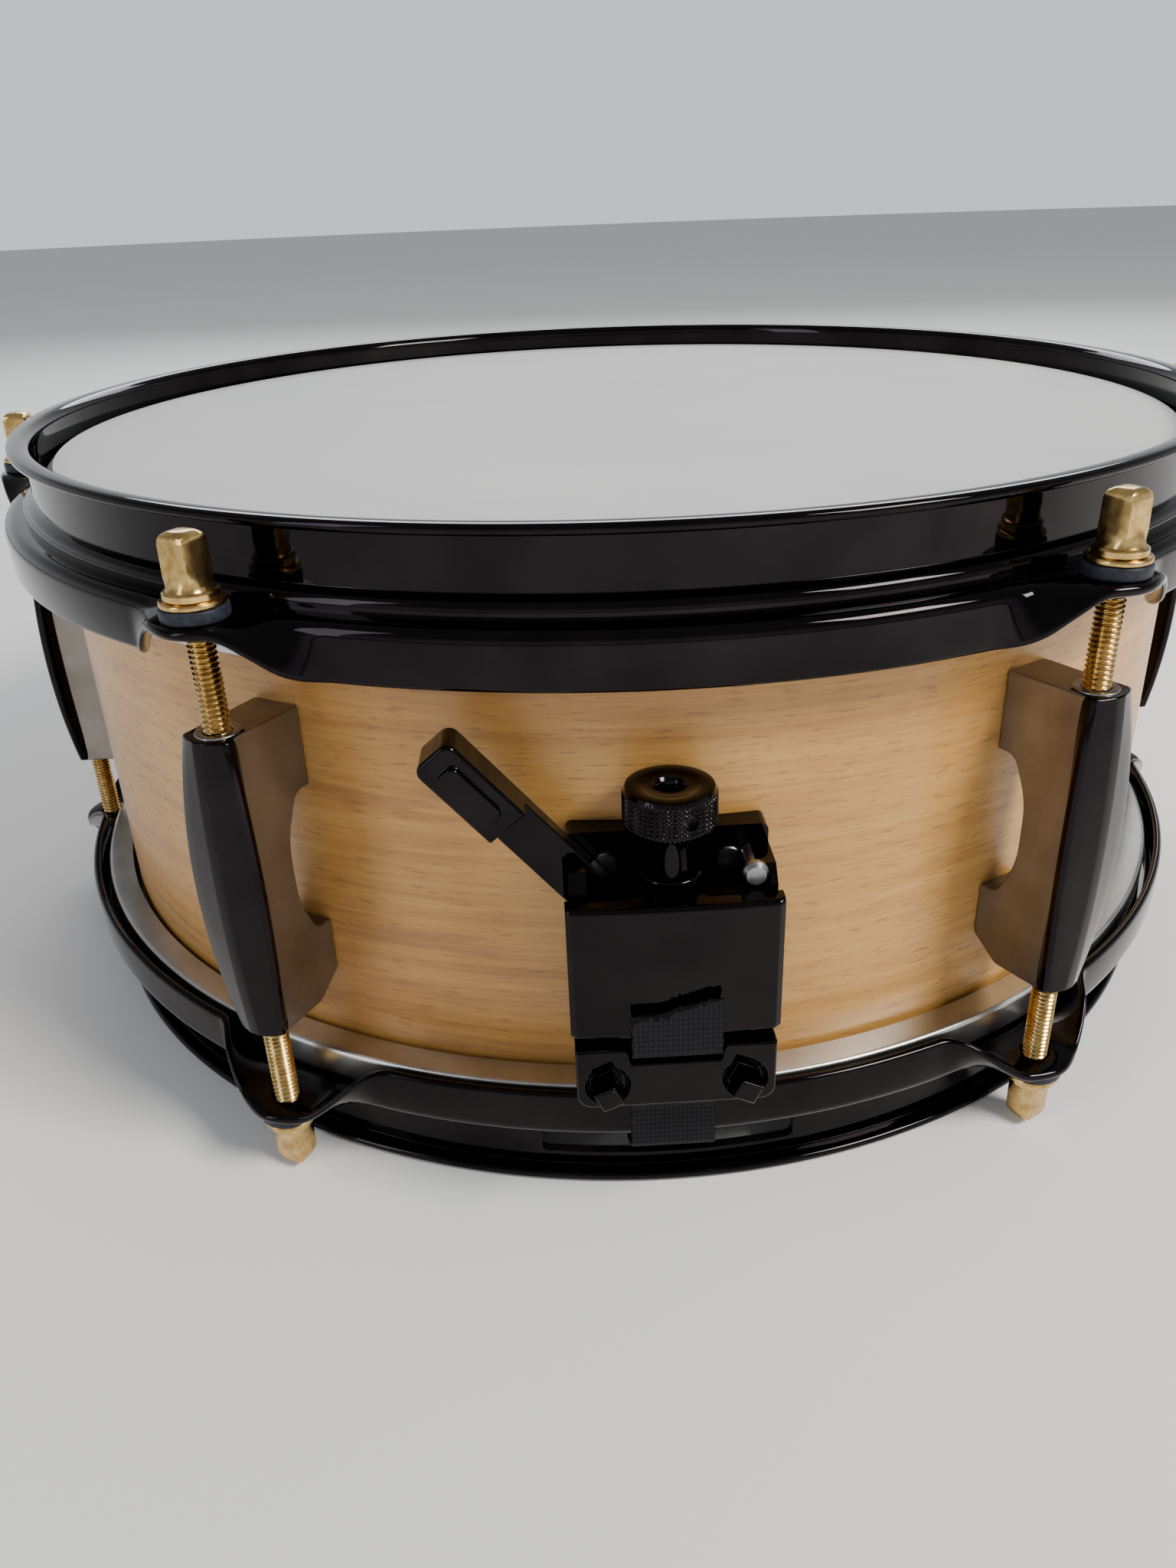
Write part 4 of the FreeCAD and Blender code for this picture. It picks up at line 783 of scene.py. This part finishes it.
def knob_mesh():
    a = angles(384)
    low, high = 91.2, 99.4
    grip = np.linspace(low + 0.8, high - 0.8, 52)
    neck = [(2.57, 82.05), (4.9, 82.05), (5.3, 82.4), (5.3, 90.8)]
    below = neck + [(5.6, low), (8.0, low), (8.25, low + 0.1)]
    rim = [(8.3, high - 0.1), (8.0, high), (5.4, high), (5.2, high - 0.15)]
    above = rim + [(3.3, high - 0.15), (2.9, high - 0.6)]
    profile = np.array([*below, *[(8.6, z) for z in grip], *above, (2.57, high - 1.0)])
    turns = a[None] / TAU * TEETH
    step = profile[:, 1:] / (TAU * KNOB_RADIUS / TEETH)
    tooth = np.minimum(triangle_wave(turns + step), triangle_wave(turns - step))
    on_grip = (profile[:, :1] == 8.6) * smoothstep(profile[:, 1:], low + 0.7, low + 1.3)
    radius = profile[:, :1] + 0.4 * tooth * on_grip * smoothstep(-profile[:, 1:], -high + 0.7, -high + 1.3)
    x = KNOB_AXIS[0] + radius * np.sin(a)
    y = KNOB_AXIS[1] - radius * np.cos(a)
    mesh = surface("knob", np.stack(np.broadcast_arrays(x, y, profile[:, 1:]), -1), along=True, sharp=40)
    return without(mesh, side_drill(1.5, 4.2, 10.0, (low + high) / 2), 40)


def side_drill(radius, near, far, height):
    """A bar out from the knob's axis, a little to the right of straight ahead."""
    a = angles(24)
    reach = np.array([near, far])[:, None]
    across, up = radius * np.cos(a), height + radius * np.sin(a)
    turn = math.radians(20)
    x = across * math.cos(turn) + reach * math.sin(turn)
    y = across * math.sin(turn) - reach * math.cos(turn) + KNOB_AXIS[1]
    return surface("drill", np.stack(np.broadcast_arrays(x, y, up), -1))


add_piece("knurled_knob", knob_mesh(), "knob", NICKEL, ["adjusting_knob"])

# %% [markdown]
# ## Straps
#
# Each strap is flat tape. Its middle line leaves the clamp, passes outside the skirt, goes in
# through the gate and lies on the snares' end plate. The front one is made in three lengths.
# The first is held by the clamp and moves with it. The second runs down from inside the clamp,
# and the third goes in through the gate to the snares. These two, like the back strap, ride no
# body and stay where they are made. The cut end above the clamp is ragged.

# %% Strap surfaces
STRAP_HALF = 8.75
STRAP_THICK = 0.6
ACROSS = 36
FRAY = 1.4
NOTCH = 0.96
SLANT = 1.6
DOWN = [(167.88, 31.0), (165.5, 27.7), (165.5, 16.6), (159.6, 11.6), (155.2, 8.55)]
UNDER = [(155.2, 8.55), (150.5, 5.6), (131.0, 4.92), (120.0, 4.9)]
FREE_END = [(174.4, 60.8), (174.0, 46.9), (167.88, 44.1)]


def strap_mesh(points, azimuth, ragged):
    """Tape along a path: path + normal * (+/- thick / 2), with x across from -half to half.
    Its first end is pushed along the path by fray, a notch and a slant where ragged is 1."""
    path = softened(points, [1.4] * (len(points) - 2), 5)
    lengths = np.append(0, np.cumsum(np.linalg.norm(np.diff(path, axis=0), axis=1)))
    s = np.linspace(0, lengths[-1], 90)
    path = np.stack([np.interp(s, lengths, path[:, k]) for k in (0, 1)], -1)
    along = np.gradient(path, axis=0)
    along /= np.linalg.norm(along, axis=1, keepdims=True)
    aside = np.stack([-along[:, 1], along[:, 0]], -1)
    across = np.linspace(-1, 1, ACROSS)
    face = np.ones(ACROSS)
    loop = np.concatenate([np.stack([across, face], -1), np.stack([across[::-1], -face], -1)])
    fray = np.random.default_rng(5).uniform(0, 1, ACROSS)
    fray = np.concatenate([fray, fray[::-1]])
    slip = (FRAY * fray + NOTCH * (loop[:, 0] < -0.2) - SLANT * loop[:, 0]) * ragged
    at = path[:, None] + aside[:, None] * loop[None, :, 1:] * STRAP_THICK / 2
    fade = smoothstep(-s, -4.0, 0.0)[:, None, None]
    at = at + along[:, None] * (slip[None, :, None] + 1.7 * ragged) * fade
    edge = 0.12 * np.sin(s * 1.9)[:, None] * np.sign(loop[:, 0])
    x = loop[:, 0] * STRAP_HALF + edge * (np.abs(loop[:, 0]) > 0.98)
    points = np.stack([np.broadcast_to(x, at.shape[:2]), -at[..., 0], at[..., 1]], -1)
    sideways = np.append(loop[:, 0], loop[:1, 0])[None] * STRAP_HALF
    flat = np.stack(np.broadcast_arrays(s[:, None], sideways), -1) * MM
    return surface("strap", placed(points, azimuth), flat=flat, sharp=50)


def add_strap(name, points, azimuth, moves, stands_for=(), ragged=0.0):
    """moves is the one body that it rides; given two bodies and where it goes over between them, it rides
    neither and stays where it is made.
    """
    mesh = strap_mesh(points, azimuth, ragged)
    strap = bpy.data.objects.new(name, mesh)
    bpy.context.scene.collection.objects.link(strap)
    mesh.materials.append(WEBBING)
    if stands_for:
        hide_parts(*stands_for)
    if isinstance(moves, str):
        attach(strap, moves)
    else:
        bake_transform(strap)
    print(f"{name}: {len(mesh.polygons)} faces, on {moves}")


below_clamp = ("drum", "slide", (0, -0.165, 0.0165), (0, -0.165, 0.0318))
to_front_plate = ("drum", "snares", (0, -0.1545, 0.006), (0, -0.133, 0.006))
to_back_plate = ("drum", "snares", (0, 0.1545, 0.006), (0, 0.133, 0.006))
add_strap("front_strap", FREE_END + [(167.88, 39.0)], 0, "carrier", ["strainer_strap"], 1.0)
add_strap("front_strap_middle", [(167.88, 36.6)] + DOWN, 0, below_clamp)
add_strap("front_strap_tail", UNDER, 0, to_front_plate)
add_strap("back_strap", [(167.88, 44.1)] + DOWN + UNDER[1:], 180, to_back_plate, ["butt_strap"])

# %% [markdown]
# ## Snare wires
#
# Each coil is a helix: x = c + r cos t, y = pitch t / 2 pi, z = h + r sin t. The wire's own
# section is a triangle round that line, which is enough for something 0.4 mm thick.


# %% Coils
def coil_grids():
    coils, turns, steps = 20, 130, 7
    half_length, radius, wire = 118.0, 0.84, 0.2
    t = np.linspace(0, turns * TAU, turns * steps + 1)[:, None]
    b = angles(3)
    c = ((np.arange(coils) - (coils - 1) / 2) * 2.2)[:, None, None]
    r = radius + wire * np.cos(b)
    x = c + r * np.cos(t)
    y = np.broadcast_to(-half_length + t / (turns * TAU) * 2 * half_length + wire * np.sin(b), x.shape)
    z = np.broadcast_to(5.6 + r * np.sin(t), x.shape)
    return np.stack([x, y, z], -1)


coils = surface("coils", coil_grids(), sharp=180)
add_piece("snare_helices", coils, "snares", WIRE, ["snare_coils"])
for end in ("front", "back"):
    polished(f"snare_end_plate_{end}", GOLD, 0.2)

# %% [markdown]
# ## What stays as the frame has it
#
# The heads are plain films. The screws, their washers, the lever's pin, the knob's set screw
# and the vent's eyelet are small turned parts that the frame has already. They only need their
# finishes, which go on the nodes' own slots.

# %% Finishes on the frame's nodes
FINISHES = {
    "maple_wood": MAPLE, "coated_film": COATED, "clear_film": CLEAR, "satin_aluminium": ALUMINIUM,
    "black_nickel": NICKEL, "satin_nickel": CASTING, "gold_brass": GOLD, "black_nylon": NYLON,
    "bright_steel": STEEL, "black_webbing": WEBBING, "snare_wire": WIRE,
}
for row in frame["record"]["subparts"]:
    mesh = frame["nodes"][row["node"]].data
    mesh.materials.clear()
    mesh.materials.append(FINISHES[row["material_slot"]])

# %% [markdown]
# ## Studio
#
# A pale floor, a large soft light high on the right, a weaker one on the left and a strip
# behind, which draws the bright line along the rims. The surroundings are pale at the
# horizon and dim overhead, so that dark plating has something darker than the lights to mirror.


# %% Floor and lights
def add_floor():
    a = angles(64)
    rows = np.array([0.0001, 1.0, 8.0])[:, None]
    points = np.stack(np.broadcast_arrays(rows * np.sin(a), rows * np.cos(a), -0.0002), -1) / MM
    floor = bpy.data.objects.new("floor", surface("floor", points, capped=False))
    bpy.context.scene.collection.objects.link(floor)
    paper = Finish("pale_floor")
    tone = paper.noise(paper.place_on((1, 1, 1)), 3.0)
    grey, white = (0.90, 0.90, 0.90), (0.94, 0.94, 0.94)
    paper.set(Base_Color=paper.ramp(tone, (0.0, grey), (1.0, white)), Roughness=0.9)
    floor.data.materials.append(paper.material)


def add_light(name, at, towards, size, watts, colour=(1, 1, 1)):
    data = bpy.data.lights.new(name, "AREA")
    data.shape = "RECTANGLE"
    data.size, data.size_y = size
    data.energy = watts
    data.color = colour
    lamp = bpy.data.objects.new(name, data)
    bpy.context.scene.collection.objects.link(lamp)
    look = (np.array(at) - np.array(towards)).astype(float)
    z = look / np.linalg.norm(look)
    x = np.cross((0, 0, 1), z)
    x /= np.linalg.norm(x)
    columns = np.stack([x, np.cross(z, x), z, at], 1)
    lamp.matrix_world = Matrix([*columns.tolist(), [0, 0, 0, 1]])


add_floor()
CENTRE = (0, 0, 0.08)
add_light("key", (0.95, -0.75, 1.15), CENTRE, (0.55, 0.45), 30, (1.0, 0.97, 0.92))
add_light("fill", (-1.2, -0.9, 0.7), CENTRE, (0.35, 1.1), 5, (0.88, 0.93, 1.0))
add_light("strip", (0.1, 1.4, 0.9), CENTRE, (1.8, 0.35), 14, (0.95, 0.97, 1.0))


def add_world(low, high):
    """Grey surroundings: the horizon's strength is low's, and overhead it is high's."""
    world = bpy.data.worlds.new("studio")
    world.use_nodes = True
    nodes, links = world.node_tree.nodes, world.node_tree.links
    direction = nodes.new("ShaderNodeTexCoord")
    parts = nodes.new("ShaderNodeSeparateXYZ")
    fade = nodes.new("ShaderNodeMapRange")
    fade.inputs["From Min"].default_value = 0.14
    fade.inputs["From Max"].default_value = 0.40
    fade.inputs["To Min"].default_value = low
    fade.inputs["To Max"].default_value = high
    background = nodes["Background"]
    background.inputs["Color"].default_value = (0.95, 0.97, 1.0, 1)
    links.new(direction.outputs["Generated"], parts.inputs["Vector"])
    links.new(parts.outputs["Z"], fade.inputs["Value"])
    links.new(fade.outputs["Result"], background.inputs["Strength"])
    bpy.context.scene.world = world


add_world(low=0.85, high=0.33)

# %% [markdown]
# ## Camera
#
# The camera stands close and a little above the rim, so the near side looks large. Its axes
# come from a heading, a downward pitch and a slight roll.


# %% Camera
def add_camera(at, heading, pitch, roll, lens):
    a, e, r = (math.radians(v) for v in (heading, pitch, roll))
    ahead = np.array([math.sin(a) * math.cos(e), math.cos(a) * math.cos(e), -math.sin(e)])
    right = np.cross(ahead, (0, 0, 1))
    right /= np.linalg.norm(right)
    up = np.cross(right, ahead)
    x = math.cos(r) * right + math.sin(r) * up
    y = math.cos(r) * up - math.sin(r) * right
    data = bpy.data.cameras.new("camera")
    data.lens = lens
    camera = bpy.data.objects.new("camera", data)
    bpy.context.scene.collection.objects.link(camera)
    columns = np.stack([x, y, -ahead, np.array(at) * MM], 1)
    camera.matrix_world = Matrix([*columns.tolist(), [0, 0, 0, 1]])
    bpy.context.scene.camera = camera


add_camera(at=(-20.2, -353.6, 196.7), heading=1.57, pitch=26.65, roll=-2.24, lens=27.15)
